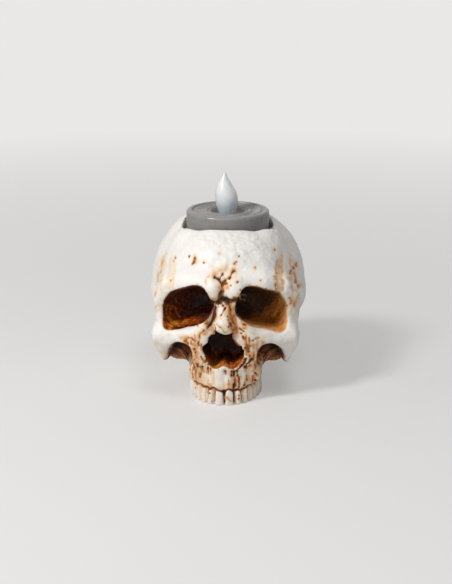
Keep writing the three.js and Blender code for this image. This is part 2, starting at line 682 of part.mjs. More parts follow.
/** The translucent flame: a hollow drop whose upper part leans to one side. */
function flame() {
  const foot = LIGHT_HEIGHT - POOL_DEPTH;
  const bore = LAMP_RADIUS + CLEARANCE;
  const ceiling = LAMP_BOTTOM + LAMP_HEIGHT + CLEARANCE;
  const heightShares = [0, 0.1, 0.2, 0.3, 0.4, 0.5, 0.6, 0.7, 0.8, 0.88, 0.95];
  const fullShares = [0, 0.42, 0.8, 1, 1.02, 0.86, 0.5, 0.02, -0.72, -1.42, -2.1];
  const swell = FLAME_BELLY_RADIUS - FLAME_FOOT_RADIUS;
  const skin = heightShares.map((share, i) => [
    FLAME_FOOT_RADIUS + fullShares[i] * swell, foot + share * FLAME_HEIGHT]);
  const drop = turned([
    [bore, POST_TOP],
    [FLAME_FLANGE_RADIUS, POST_TOP],
    [FLAME_FLANGE_RADIUS, POST_TOP + FLAME_FLANGE_THICKNESS],
    [FLAME_FOOT_RADIUS, POST_TOP + FLAME_FLANGE_THICKNESS],
    ...skin,
    [0, foot + FLAME_HEIGHT],
    [0, ceiling + FLAME_WALL],
    [bore / 2, ceiling],
    [bore, ceiling - FLAME_WALL],
    [bore, POST_TOP],
  ], SMALL_SIDES * 2);
  const position = drop.attributes.position;
  const neck = ceiling + FLAME_WALL;
  for (let i = 0; i < position.count; i += 1) {
    const share = Math.max(position.getZ(i) - neck, 0) / (foot + FLAME_HEIGHT - neck);
    position.setX(i, position.getX(i) - FLAME_LEAN * share ** 1.5);
  }
  return drop;
}

function lamp() {
  const shoulder = LAMP_BOTTOM + LAMP_HEIGHT - LAMP_RADIUS;
  const dome = [15, 35, 55, 75].map((degrees) => {
    const angle = THREE.MathUtils.degToRad(degrees);
    return [LAMP_RADIUS * Math.cos(angle), shoulder + LAMP_RADIUS * Math.sin(angle)];
  });
  return turned([
    [0, LAMP_BOTTOM],
    [LAMP_FLANGE_RADIUS, LAMP_BOTTOM],
    [LAMP_FLANGE_RADIUS, LAMP_BOTTOM + LAMP_FLANGE_THICKNESS],
    [LAMP_RADIUS, LAMP_BOTTOM + LAMP_FLANGE_THICKNESS],
    [LAMP_RADIUS, shoulder],
    ...dome,
    [0, LAMP_BOTTOM + LAMP_HEIGHT],
  ], SMALL_SIDES);
}

function lampLead(side) {
  const half = LEAD_THICKNESS / 2;
  const across = side * LEAD_PITCH / 2;
  return block([across - half, -half, CORE_BOTTOM], [across + half, half, LAMP_BOTTOM]);
}

/** The inner moulding: a plate with the lamp's post above, and the tray, legs and switch block below. */
function batteryCore() {
  const plate = rod(DISC_RADIUS, CORE_BOTTOM, CORE_TOP);
  const post = rod(POST_RADIUS, CORE_TOP - CORE_THICKNESS / 2, POST_TOP, SMALL_SIDES * 2);
  const inside = CELL_RADIUS + TRAY_ROOM;
  const tray = turned([
    [inside, CELL_BOTTOM],
    [inside + TRAY_WALL, CELL_BOTTOM],
    [inside + TRAY_WALL, CORE_BOTTOM + CORE_THICKNESS / 2],
    [inside, CORE_BOTTOM + CORE_THICKNESS / 2],
    [inside, CELL_BOTTOM],
  ]).translate(0, DOOR_SETBACK, 0);
  const switchBlock = block(
    [-SWITCH_BLOCK_LENGTH / 2, BLOCK_FRONT, BLOCK_BOTTOM],
    [SWITCH_BLOCK_LENGTH / 2, BLOCK_FRONT + SLIDER_WIDTH, CORE_TOP - CORE_THICKNESS / 2]);
  const legs = [];
  const bores = [];
  for (const [, side] of SCREW_SIDES) {
    const leg = rod(BOSS_RADIUS, PLATE_TOP, CORE_BOTTOM + CORE_THICKNESS / 2, SMALL_SIDES);
    const bore = rod(SCREW_BORE_RADIUS, PLATE_TOP - OVERRUN, CORE_TOP + OVERRUN, SMALL_SIDES);
    legs.push(leg.translate(side * BOSS_ACROSS, BOSS_SETBACK, 0));
    bores.push(bore.translate(side * BOSS_ACROSS, BOSS_SETBACK, 0));
  }
  const leadBore = rod(POST_BORE_RADIUS, CORE_BOTTOM - OVERRUN, POST_TOP + OVERRUN, SMALL_SIDES);
  const lampSocket = rod(LAMP_FLANGE_RADIUS + CLEARANCE, LAMP_BOTTOM, POST_TOP + OVERRUN, SMALL_SIDES * 2);
  const stripGate = block(
    [FEED_STRIP_LEFT - CLEARANCE, 0, CELL_BOTTOM - OVERRUN],
    [LEAD_PITCH / 2 + STRIP_WIDTH / 2 + CLEARANCE, BLOCK_FRONT, CORE_BOTTOM]);
  return shaped(plate, {
    joined: [post, tray, switchBlock, ...legs],
    cut: [leadBore, lampSocket, stripGate, ...bores],
  });
}

/** The strip that presses on the cell's small face and carries the lamp's negative lead. */
function negativeContact() {
  const lowest = CELL_TOP + CLEARANCE + STRIP_THICKNESS / 2;
  return stripAlong([
    [LEAD_THICKNESS * 1.5, UNDER_CORE],
    [-CELL_RADIUS * 0.3, UNDER_CORE],
    [-CELL_RADIUS * 0.5, lowest],
    [-CELL_RADIUS * 0.7, (lowest + UNDER_CORE) / 2],
  ], -LEAD_PITCH / 2 - STRIP_WIDTH / 2, STRIP_WIDTH);
}

/** The strip from the cell's side to the first switch terminal. */
function positiveContact() {
  const beside = DOOR_SETBACK + CELL_RADIUS + CLEARANCE + STRIP_THICKNESS / 2;
  return stripAlong([
    [beside, CELL_BOTTOM + CLEARANCE],
    [beside, UNDER_CORE],
    [BEFORE_BLOCK, UNDER_CORE],
    [BEFORE_BLOCK, UNDER_BLOCK],
    [TERMINAL_END, UNDER_BLOCK],
  ], FEED_STRIP_LEFT, STRIP_WIDTH);
}

/** The strip from the lamp's positive lead to the second switch terminal. */
function switchContact() {
  return stripAlong([
    [-LEAD_THICKNESS * 1.5, UNDER_CORE],
    [BEFORE_BLOCK, UNDER_CORE],
    [BEFORE_BLOCK, UNDER_BLOCK],
    [TERMINAL_END, UNDER_BLOCK],
  ], LEAD_PITCH / 2 - STRIP_WIDTH / 2, STRIP_WIDTH);
}

function coinCell() {
  const edge = CELL_HEIGHT / 8;
  return turned([
    [0, CELL_BOTTOM],
    [CELL_RADIUS - edge, CELL_BOTTOM],
    [CELL_RADIUS, CELL_BOTTOM + edge],
    [CELL_RADIUS, CELL_TOP - 2 * edge],
    [CELL_RADIUS - edge, CELL_TOP - edge],
    [CELL_RADIUS - 2 * edge, CELL_TOP - edge],
    [CELL_RADIUS - 3 * edge, CELL_TOP],
    [0, CELL_TOP],
  ], ROUND_SIDES).translate(0, DOOR_SETBACK, 0);
}

/** Boxes round the door's middle, one for each lug, from the neck out to a reach. */
function lugBoxes(width, reach, bottom, top, turn) {
  return Array.from({ length: DOOR_LUGS }, (_, i) => {
    const box = block([0, -width / 2, bottom], [reach, width / 2, top]);
    const angle = Math.PI / 2 + turn + i * 2 * Math.PI / DOOR_LUGS;
    return box.rotateZ(angle).translate(0, DOOR_SETBACK, 0);
  });
}

function batteryDoor() {
  const cover = turned([
    [0, PLATE_RECESS],
    [DOOR_RADIUS, PLATE_RECESS],
    [DOOR_RADIUS, PLATE_TOP],
    [DOOR_NECK_RADIUS, PLATE_TOP],
    [DOOR_NECK_RADIUS, LUG_TOP],
    [0, LUG_TOP],
  ]).translate(0, DOOR_SETBACK, 0);
  const lugs = lugBoxes(DOOR_LUG_WIDTH, DOOR_LUG_REACH, LUG_BOTTOM, LUG_TOP, 0);
  const coinSlot = block(
    [-COIN_SLOT_LENGTH / 2, DOOR_SETBACK - COIN_SLOT_WIDTH / 2, PLATE_RECESS - OVERRUN],
    [COIN_SLOT_LENGTH / 2, DOOR_SETBACK + COIN_SLOT_WIDTH / 2, PLATE_RECESS + COIN_SLOT_DEPTH]);
  return shaped(cover, { joined: lugs, cut: [coinSlot] });
}

function basePlate() {
  const [low, high] = [PLATE_RECESS - OVERRUN, PLATE_TOP + OVERRUN];
  const plate = rod(DISC_RADIUS, PLATE_RECESS, PLATE_TOP);
  const doorway = rod(DOOR_RADIUS + CLEARANCE, low, high).translate(0, DOOR_SETBACK, 0);
  const notchWidth = DOOR_LUG_WIDTH + 2 * CLEARANCE;
  const notches = lugBoxes(notchWidth, DOOR_LUG_REACH + CLEARANCE, low, high, DOOR_TURN);
  const slotHalf = (KNOB_LENGTH + SWITCH_TRAVEL) / 2 + CLEARANCE;
  const knobSlot = block(
    [-slotHalf, SWITCH_SETBACK - KNOB_WIDTH / 2 - CLEARANCE, low],
    [slotHalf, SWITCH_SETBACK + KNOB_WIDTH / 2 + CLEARANCE, high]);
  const holes = [];
  for (const [, side] of SCREW_SIDES) {
    const bore = rod(SCREW_BORE_RADIUS, low, high, SMALL_SIDES);
    const headRoom = rod(SCREW_HEAD_RADIUS + CLEARANCE, low, PLATE_RECESS + SCREW_HEAD_HEIGHT, SMALL_SIDES);
    holes.push(bore.translate(side * BOSS_ACROSS, BOSS_SETBACK, 0));
    holes.push(headRoom.translate(side * BOSS_ACROSS, BOSS_SETBACK, 0));
  }
  return shaped(plate, { cut: [doorway, ...notches, knobSlot, ...holes] });
}

function screw(side) {
  const seat = PLATE_RECESS + SCREW_HEAD_HEIGHT;
  const body = turned([
    [0, PLATE_RECESS],
    [SCREW_HEAD_RADIUS, PLATE_RECESS],
    [SCREW_HEAD_RADIUS, seat],
    [SCREW_RADIUS, seat],
    [SCREW_RADIUS, seat + SCREW_LENGTH - SCREW_RADIUS],
    [0, seat + SCREW_LENGTH],
  ], SMALL_SIDES);
  const [reach, half] = [SCREW_HEAD_RADIUS * 0.7, SCREW_SLOT_WIDTH / 2];
  const deep = PLATE_RECESS + SCREW_HEAD_HEIGHT / 2;
  const slots = [
    block([-reach, -half, PLATE_RECESS - OVERRUN], [reach, half, deep]),
    block([-half, -reach, PLATE_RECESS - OVERRUN], [half, reach, deep]),
  ];
  return shaped(body, { cut: slots }).translate(side * BOSS_ACROSS, BOSS_SETBACK, 0);
}

function switchSlider() {
  const flange = block(
    [SLIDER_REST - SLIDER_LENGTH / 2, BLOCK_FRONT, LUG_BOTTOM],
    [SLIDER_REST + SLIDER_LENGTH / 2, BLOCK_FRONT + SLIDER_WIDTH, LUG_BOTTOM + SLIDER_THICKNESS]);
  const knob = block(
    [SLIDER_REST - KNOB_LENGTH / 2, SWITCH_SETBACK - KNOB_WIDTH / 2, PLATE_RECESS - KNOB_PROUD],
    [SLIDER_REST + KNOB_LENGTH / 2, SWITCH_SETBACK + KNOB_WIDTH / 2, LUG_BOTTOM + SLIDER_THICKNESS / 2]);
  return shaped(flange, { joined: [knob] });
}

/** The bowed strip on top of the slider, which bridges the two terminals when the switch is on. */
function switchWiper() {
  const seat = LUG_BOTTOM + SLIDER_THICKNESS + STRIP_THICKNESS / 2;
  const start = SLIDER_REST - SLIDER_LENGTH / 2;
  const crown = seat + WIPER_RISE;
  const path = [
    [start, seat],
    [start + WIPER_LENGTH / 4, crown],
    [start + WIPER_LENGTH * 3 / 4, crown],
    [start + WIPER_LENGTH, seat],
  ];
  const halfWidth = STRIP_WIDTH / 2;
  return bentStrip(path, STRIP_WIDTH).rotateX(Math.PI / 2).translate(0, SWITCH_SETBACK + halfWidth, 0);
}

const light = new THREE.Group();
light.position.set(0, SEAT_SETBACK, SEAT_FLOOR);
light.add(
  piece('light_housing', lightHousing(), GREY_PLASTIC),
  piece('flame', flame(), MILKY_PLASTIC),
  piece('lamp', lamp(), LAMP_RESIN),
  piece('lamp_lead_negative', lampLead(-1), TINNED_STEEL),
  piece('lamp_lead_positive', lampLead(1), TINNED_STEEL),
  piece('battery_core', batteryCore(), BLACK_PLASTIC),
  piece('contact_negative', negativeContact(), TINNED_STEEL),
  piece('contact_positive', positiveContact(), TINNED_STEEL),
  piece('contact_switch', switchContact(), TINNED_STEEL),
  piece('coin_cell', coinCell(), TINNED_STEEL),
  piece('base_plate', basePlate(), GREY_PLASTIC),
  ...SCREW_SIDES.map(([name, side]) => piece(`base_screw_${name}`, screw(side), TINNED_STEEL)),
  piece('battery_door', batteryDoor(), GREY_PLASTIC),
  piece('switch_slider', switchSlider(), BLACK_PLASTIC),
  piece('switch_wiper', switchWiper(), BRASS),
);

const skullCandleHolder = new THREE.Group();
skullCandleHolder.add(
  piece('skull_casting', skullCasting(), PAINTED_RESIN),
  piece('felt_pad_left', feltPad(-1), BLACK_FELT),
  piece('felt_pad_right', feltPad(1), BLACK_FELT),
  light,
);

export default skullCandleHolder;
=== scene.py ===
# %% [markdown]
# A skull candle holder, dressed for its picture.
# The real object is a small human skull cast in stone resin, painted off-white, washed with brown
# stain and wiped, so that the stain stays in the hollows. An electric tea light stands in a round
# seat in its crown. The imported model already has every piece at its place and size. This script
# gives each piece that shows a finer surface and a finish, in metres, +Z up, face towards -Y.

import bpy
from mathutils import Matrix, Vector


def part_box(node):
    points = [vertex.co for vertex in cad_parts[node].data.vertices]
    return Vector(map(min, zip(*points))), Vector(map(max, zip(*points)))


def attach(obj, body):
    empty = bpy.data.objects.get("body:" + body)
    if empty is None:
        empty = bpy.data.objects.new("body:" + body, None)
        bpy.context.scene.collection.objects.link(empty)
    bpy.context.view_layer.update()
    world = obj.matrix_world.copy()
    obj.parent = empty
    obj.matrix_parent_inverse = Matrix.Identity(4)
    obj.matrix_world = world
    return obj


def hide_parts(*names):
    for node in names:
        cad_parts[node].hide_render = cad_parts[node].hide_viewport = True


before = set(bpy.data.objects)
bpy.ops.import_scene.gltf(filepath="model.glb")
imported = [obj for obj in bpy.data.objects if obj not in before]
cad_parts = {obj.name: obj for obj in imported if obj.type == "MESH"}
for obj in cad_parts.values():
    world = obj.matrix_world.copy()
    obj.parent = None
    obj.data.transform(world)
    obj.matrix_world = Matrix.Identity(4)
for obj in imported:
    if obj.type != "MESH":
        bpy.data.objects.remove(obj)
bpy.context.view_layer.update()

# %% [markdown]
# Sizes in this script are written in millimetres, because the real object is measured that way,
# and turned to metres when they go into a mesh. Colours are written as the hex values that a
# painter or a colour chart would give, and one function turns them to linear light.

# %% Units and colours
import itertools
import math

import bmesh
import bpy
import numpy as np
from mathutils import Matrix, Vector

MM = 0.001


def linear(hex_colour):
    """An sRGB hex colour as linear red, green and blue, and a full alpha."""
    parts = [int(hex_colour[i:i + 2], 16) / 255 for i in (1, 3, 5)]
    return [c / 12.92 if c <= 0.04045 else ((c + 0.055) / 1.055) ** 2.4 for c in parts] + [1.0]


print("painted white in linear light:", [round(c, 2) for c in linear("#F1EEE9")])

# %% [markdown]
# The skull is one casting, so it is one mesh. It could be sculpted by hand or built from a cage
# of quads with subdivision, but then its shape would be a long list of points. Here it is
# described as a carver would rough it out: round lumps for the braincase and the face, ridges
# laid along the bones, and hollows cut away, all blended into each other. Each size is a share
# of half the skull's width, half its length, or its height.

# %% The skull's lumps, ridges and hollows
SPANS = np.array([37.0, 46.0, 75.3])

# Each lump or hollow: its centre (three), its radii (three), and how widely it blends in.
BRAINCASE_SHARES = [
    [0, 0.239, 0.585, 0.965, 0.752, 0.474, 0.01],  # vault
    [0, -0.283, 0.631, 0.811, 0.598, 0.365, 0.19],  # forehead
    [0, 0.424, 0.385, 0.757, 0.554, 0.345, 0.216],  # back of the head
    [0, 0.217, 0.252, 0.595, 0.478, 0.252, 0.216],  # base
    [0.81, 0.196, 0.491, 0.162, 0.261, 0.093, 0.108],  # swelling above the ear
    [0.46, -0.13, 0.835, 0.16, 0.2, 0.115, 0.2],  # crown in front of the seat's side
]
FACE_SHARES = [
    [0, -0.478, 0.438, 0.635, 0.337, 0.252, 0.162],  # middle of the face
    [0.595, -0.478, 0.558, 0.203, 0.196, 0.16, 0.135],  # outer wall of the orbit
    [0.554, -0.283, 0.325, 0.284, 0.304, 0.166, 0.135],  # under the temple
    [0, -0.652, 0.319, 0.365, 0.25, 0.16, 0.108],  # upper jaw, behind the nose
    [0.124, -0.874, 0.688, 0.108, 0.07, 0.066, 0.054],  # swelling between the brows
    [0.635, -0.641, 0.38, 0.243, 0.141, 0.074, 0.081],  # cheekbone
]
# Each ridge: how widely it blends in, then points along it with the radius there.
RIDGE_SHARES = [
    [0.068, [0, -0.783, 0.677, 0.114], [0, -0.837, 0.611, 0.097], [0, -0.917, 0.491, 0.114]],  # nose
    [0.108, [0.097, -0.804, 0.611, 0.076], [0.2, -0.822, 0.505, 0.103], [0.308, -0.815, 0.385, 0.114],
     [0.319, -0.783, 0.266, 0.122], [0.351, -0.717, 0.159, 0.095]],  # beside the nose
    [0.162, [0.162, -0.783, 0.691, 0.151], [0.432, -0.739, 0.706, 0.151],
     [0.662, -0.643, 0.677, 0.135], [0.735, -0.587, 0.611, 0.108]],  # brow
    [0.108, [0.735, -0.587, 0.611, 0.108], [0.73, -0.598, 0.505, 0.114],
     [0.719, -0.609, 0.398, 0.135]],  # outer rim of the orbit
    [0.081, [0.27, -0.804, 0.412, 0.103], [0.473, -0.765, 0.385, 0.116],
     [0.676, -0.663, 0.375, 0.13]],  # lower rim of the orbit
    [0.081, [0.7, -0.576, 0.332, 0.13], [0.715, -0.533, 0.234, 0.081]],  # tip of the cheek
    [0.108, [0.735, -0.543, 0.32, 0.12], [0.79, -0.261, 0.332, 0.092],
     [0.8, 0.043, 0.372, 0.092]],  # arch from cheek to ear
    [0.135, [0.649, 0.239, 0.332, 0.176], [0.608, 0.239, 0.159, 0.108]],  # bone behind the ear
]
HOLLOW_SHARES = [
    [0.584, -0.728, 0.199, 0.141, 0.261, 0.125, 0.081],  # under the cheekbone
    [0.51, -0.7, 0.285, 0.146, 0.261, 0.09, 0.054],  # above it, towards the nose
    [1, -0.391, 0.571, 0.189, 0.228, 0.173, 0.108],  # temple
    [0, -0.37, -0.013, 0.27, 0.326, 0.093, 0.081],  # palate
    [0, -0.087, -0.013, 0.919, 0.174, 0.159, 0.108],  # behind the jaw, right across
    [0.941, 0.141, 0.332, 0.081, 0.052, 0.032, 0.027],  # ear opening
]


def in_millimetres(rows):
    """Rows of shares as millimetres: across, along and up in turn, and again for the radii."""
    return [np.array(row) * np.resize(SPANS, len(row)) for row in rows]


BRAINCASE, FACE, HOLLOWS = map(in_millimetres, (BRAINCASE_SHARES, FACE_SHARES, HOLLOW_SHARES))
RIDGES = [(row[0] * SPANS[0], in_millimetres(row[1:])) for row in RIDGE_SHARES]
print("lumps:", len(BRAINCASE) + len(FACE), "ridges:", len(RIDGES), "hollows:", len(HOLLOWS))

# %% [markdown]
# To blend such forms, each one answers the same question for any point: how far outside me are
# you? The smaller of two answers joins the forms, the larger cuts one by the other, and a
# smoothed smaller or larger leaves a soft crease or a rounded edge, as clay does under a thumb.

# %% Distances to simple forms


def smooth_min(a, b, width):
    """The smaller of two distances, with the crease between them filled over a width."""
    overlap = np.maximum(width - np.abs(a - b), 0) / width
    return np.minimum(a, b) - overlap ** 2 * width / 4


def smooth_max(a, b, width):
    """The larger of two distances, with the edge between them rounded over a width."""
    return -smooth_min(-a, -b, width)


def outside_lump(points, lump):
    """About how far each point lies outside an ellipsoid."""
    reach = points - lump[:3]
    inner = np.linalg.norm(reach / lump[3:6], axis=1)
    slope = np.linalg.norm(reach / lump[3:6] ** 2, axis=1)
    return inner * (inner - 1) / np.maximum(slope, 1e-9)


def outside_rod(points, start, end):
    """How far each point lies outside a rod that tapers from one point and radius to another."""
    axis = end[:3] - start[:3]
    share = np.clip((points - start[:3]) @ axis / (axis @ axis), 0, 1)
    away = np.linalg.norm(points - start[:3] - share[:, None] * axis, axis=1)
    return away - start[3] - share * (end[3] - start[3])


def outside_ridge(points, stops):
    """How far each point lies outside a ridge of rods."""
    return np.minimum.reduce([outside_rod(points, a, b) for a, b in zip(stops, stops[1:])])


print("ball of 10 at 12:", outside_lump(np.array([[12.0, 0, 0]]), np.array([0, 0, 0, 10, 10, 10])))

# %% [markdown]
# Three openings make the face. Each eye socket is a squarish funnel that turns inwards and droops
# at its outer end. Squares of the distances across and up would make it round, and cubes make it
# nearly square, so cubes are used.

# %% Eye sockets
ORBIT_PLACE = np.array([0.461, -0.826, 0.575]) * SPANS
ORBIT_WIDTH = 24
ORBIT_HEIGHT = 18
ORBIT_DEPTH = 20
ORBIT_TURN = math.radians(27)
ORBIT_DROOP_SHARE = 0.32


def outside_orbit(points):
    """How far each point lies outside the nearer eye socket."""
    x, y, z = points.T
    dx, dy = np.abs(x) - ORBIT_PLACE[0], y - ORBIT_PLACE[1]
    across = dx * math.cos(ORBIT_TURN) + dy * math.sin(ORBIT_TURN)
    deep = dy * math.cos(ORBIT_TURN) - dx * math.sin(ORBIT_TURN)
    up = z - ORBIT_PLACE[2] + ORBIT_DROOP_SHARE * across
    cubes = np.abs(2 * across / ORBIT_WIDTH) ** 3 + np.abs(2 * up / ORBIT_HEIGHT) ** 3
    depth_share = np.clip(deep / ORBIT_DEPTH, 0, 1)
    wall = (np.cbrt(cubes) - np.sqrt(1 - depth_share ** 2)) * ORBIT_HEIGHT / 2
    return np.maximum(wall, deep - ORBIT_DEPTH)


middle_of_orbit = ORBIT_PLACE + np.array([0, 6, 0])
print("socket at its middle:", outside_orbit(middle_of_orbit[None, :]).round(1))

# %% [markdown]
# The nose isn't even on the real casting: its edge is stepped, a flap of bone hangs into it from
# the upper right, and a short spine stands in the middle of its floor. So its edge is given as an
# outline, place by place, and a thin wall is left standing inside.

# %% Nose
NOSE_OUTLINE = [  # across and up, from the top left corner round to the right
    (-4, 33.9), (-1.4, 33.6), (0, 33), (1.8, 33), (3.2, 33.3), (3.5, 31.2), (4.1, 29.4), (4.7, 27.9),
    (5.9, 27.3), (7.6, 27.4), (8.9, 25.4), (8.7, 22), (7.6, 19.6), (5.7, 17.7), (4, 17), (2.5, 17.1),
    (1, 18.2), (-0.5, 18.6), (-2, 17.6), (-3.4, 16.9), (-4.9, 16.9), (-6.4, 18), (-7.7, 20), (-8.5, 22.4),
    (-9.7, 25), (-9.6, 26.7), (-7.4, 28.5), (-7, 31), (-5.8, 32.2), (-4.3, 32.5)]
NOSE_BACK = -25
SEPTUM_THICKNESS = 1.3
SEPTUM_TOP = 24
SEPTUM_FRONT = -40
SEPTUM_PLACE = 0.4
FAR_FROM_NOSE = 9.0


def from_line(spots, line):
    """Distance from each spot to a line of points, across and up, or across, along and up."""
    line = np.array(line, dtype=float)
    nearest = np.full(len(spots), np.inf)
    for a, b in zip(line, line[1:]):
        share = np.clip((spots - a) @ (b - a) / ((b - a) @ (b - a)), 0, 1)[:, None]
        nearest = np.minimum(nearest, np.linalg.norm(spots - a - share * (b - a), axis=1))
    return nearest


def outside_outline(spots, outline):
    """How far each spot, across and up, lies outside a closed outline. Less than 0 is inside."""
    closed = outline + outline[:1]
    inside = np.zeros(len(spots), dtype=bool)
    for (ax, az), (bx, bz) in zip(closed, closed[1:]):
        if az != bz:
            between = (az > spots[:, 1]) != (bz > spots[:, 1])
            inside ^= between & (spots[:, 0] < ax + (spots[:, 1] - az) * (bx - ax) / (bz - az))
    return np.where(inside, -1, 1) * from_line(spots, closed)


def outside_nose(points):
    """How far each point lies outside the nose opening, with its wall left standing."""
    gap = np.full(len(points), FAR_FROM_NOSE)
    near = (np.abs(points[:, 0]) < 15) & (np.abs(points[:, 2] - 25.5) < 14) & (points[:, 1] < NOSE_BACK + 6)
    x, y, z = points[near].T
    edge = outside_outline(points[near][:, [0, 2]], NOSE_OUTLINE)
    room = smooth_max(edge, y - NOSE_BACK, 3)
    wall = np.abs(x - SEPTUM_PLACE) - SEPTUM_THICKNESS / 2
    wall = np.maximum.reduce([wall, z - SEPTUM_TOP, SEPTUM_FRONT - y])
    gap[near] = smooth_max(room, -wall, 0.8)
    return gap


print("nose at a place in its left half:", outside_nose(np.array([[-4, -38, 28.0]])).round(1))

# %% [markdown]
# The upper jaw is a horseshoe of bone, and its teeth stand on an arch just inside its edge. A
# place near the jaw is measured along that arch, so that the teeth, their gaps and the root ridges
# above them line up.

# %% The jaw and its arch
JAW_WIDTH = 32.4
JAW_REACH = 23.3
JAW_HEEL = 7
JAW_TOP = 33
JAW_BLEND = 6
JAW_CENTRE = -0.435 * SPANS[1]
TOOTH_DEPTH = 5.2
TOOTH_PROUD = 0.5
TOOTH_WIDTHS = 4.1 * np.array([1, 0.8, 0.85, 0.78, 0.78, 1.1, 1.05])
TOOTH_ENDS = np.concatenate([[0], np.cumsum(TOOTH_WIDTHS)])
ARCH_RADII = np.array([JAW_WIDTH / 2, JAW_REACH]) + TOOTH_PROUD - TOOTH_DEPTH / 2

quarter = np.linspace(0, math.pi / 2, 200)
arch = np.stack([ARCH_RADII[0] * np.sin(quarter), JAW_CENTRE - ARCH_RADII[1] * np.cos(quarter)], axis=1)
arch_length = np.concatenate([[0], np.cumsum(np.linalg.norm(np.diff(arch, axis=0), axis=1))])


def jaw_share(points):
    """Share of the way from the middle of the tooth arch to its outline, 1 on the outline."""
    along = points[:, 1] - JAW_CENTRE
    reach = np.where(along < 0, JAW_REACH, JAW_HEEL)
    return np.hypot(points[:, 0] / (JAW_WIDTH / 2), along / reach)


def along_arch(points):
    """How far round the arch from its middle each point lies, negative on the left."""
    turn = np.arctan2(np.abs(points[:, 0]) / ARCH_RADII[0], (JAW_CENTRE - points[:, 1]) / ARCH_RADII[1])
    return np.sign(points[:, 0]) * np.interp(turn, quarter, arch_length)


print("tooth row:", round(float(TOOTH_ENDS[-1]), 1), "mm a side")

# %% [markdown]
# Each of the fourteen teeth is a block that is rounded all over and stands square to the arch.
# Where two blocks meet a crease is left, as between real teeth. The gum line is where the bone
# above is thicker than the teeth, by the inset.

# %% Teeth
GUM_LINE = 7.2
GUM_INSET = 1.6
TOOTH_HEIGHT = 11.2
TOOTH_CENTRE = 3.2
TOOTH_BLEND = 0.6
TOOTH_SQUARENESS = 2.6  # 2 would be an egg, and a higher number is nearer to a box
TOOTH_OVERLAP = 0.53  # half a tooth's width as a share of its place, a little more than half
TOOTH_SLOPE = 0.45  # turns a share of a tooth's size to about a distance


def outside_teeth(points):
    """How far each point lies outside the nearest tooth."""
    x, y, z = points.T
    gap = np.full(len(points), SPANS[0])
    for first, last in zip(TOOTH_ENDS, TOOTH_ENDS[1:]):
        middle = (first + last) / 2
        at = np.array([np.interp(middle, arch_length, column) for column in arch.T])
        ahead = np.array([np.interp(middle + 0.5, arch_length, column) for column in arch.T]) - at
        ahead = ahead / np.linalg.norm(ahead)
        dx, dy = np.abs(x) - at[0], y - at[1]
        across = (dx * ahead[0] + dy * ahead[1]) / ((last - first) * TOOTH_OVERLAP)
        deep = (dx * ahead[1] - dy * ahead[0]) / (TOOTH_DEPTH / 2)
        up = (z - TOOTH_CENTRE) / (TOOTH_HEIGHT / 2)
        powers = sum(np.abs(share) ** TOOTH_SQUARENESS for share in (across, deep, up))
        size = powers ** (1 / TOOTH_SQUARENESS)
        gap = smooth_min(gap, (size - 1) * (last - first) * TOOTH_SLOPE, TOOTH_BLEND)
    return gap


print("teeth up to", round(TOOTH_CENTRE + TOOTH_HEIGHT / 2, 1), "mm, and cut level at the bottom")

# %% [markdown]
# A hand-made casting is never quite even. Smooth noise moves the skull's surface by a few tenths
# of a millimetre, and finer noise later gives it its hammered skin. The noise comes from one
# block of random numbers with a fixed seed, so that the casting is the same each time.

# %% Smooth noise
GRAIN_CELLS = 32
LAYER_STEP = 5.3  # how far apart in the block two layers of noise begin, in cells
GRAIN = np.random.default_rng(11).random((GRAIN_CELLS, GRAIN_CELLS, GRAIN_CELLS))


def noise(points, size, layer=0):
    """Smooth noise from -1 to 1, with lumps of about this size in millimetres."""
    spot = points / size + LAYER_STEP * layer
    cell = np.floor(spot).astype(int)
    part = spot - cell
    part = part * part * (3 - 2 * part)
    total = np.zeros(len(points))
    for corner in itertools.product((0, 1), repeat=3):
        weight = np.prod(np.where(corner, part, 1 - part), axis=1)
        total += weight * GRAIN[tuple(((cell + corner) % GRAIN_CELLS).T)]
    return 2 * total - 1


print("noise from", noise(np.random.default_rng(1).random((500, 3)) * 60, 4).min().round(2))

# %% [markdown]
# The seat is a plain bore with a softened mouth, and the underside is cut level: the biting edges
# stand on the table, and the back of the head stands on a felt pad's thickness.

# %% The whole skull as one distance
SEAT_SETBACK = 3
SEAT_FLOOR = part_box("light_housing")[0].z / MM
SEAT_RADIUS = (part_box("light_housing")[1].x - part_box("light_housing")[0].x) / 2 / MM + 1.7
SEAT_MOUTH_ROUND = 1.6
ORBIT_RIM_ROUND = 1.3
NOSE_RIM_ROUND = 0.8
FELT_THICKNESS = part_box("felt_pad_left")[1].z / MM
JAW_BACK = -0.087 * SPANS[1]
UNEVENNESS = 0.3
UNEVEN_WAVE = 9


def folded(points):
    """The points with both sides of the skull laid on one, and a soft fold in the middle."""
    return np.stack([np.hypot(points[:, 0], 0.5), points[:, 1], points[:, 2]], axis=1)


def outside_uncut(points):
    """How far each point lies outside the bone, before anything is hollowed out of it."""
    side = folded(points)
    gap = np.full(len(points), 2 * SPANS[0])
    for lump in BRAINCASE:
        gap = smooth_min(gap, outside_lump(side, lump), lump[6])
    gap = smooth_max(gap, points[:, 2] - SPANS[2], 2)
    for lump in FACE:
        gap = smooth_min(gap, outside_lump(side, lump), lump[6])
    jaw_wall = (jaw_share(points) - 1) * JAW_WIDTH / 2
    jaw_ends = np.maximum(points[:, 2] - JAW_TOP, -points[:, 2] - GUM_LINE)
    gap = smooth_min(gap, smooth_max(jaw_wall, jaw_ends, JAW_BLEND), JAW_BLEND)
    for blend, stops in RIDGES:
        gap = smooth_min(gap, outside_ridge(side, stops), blend)
    return gap


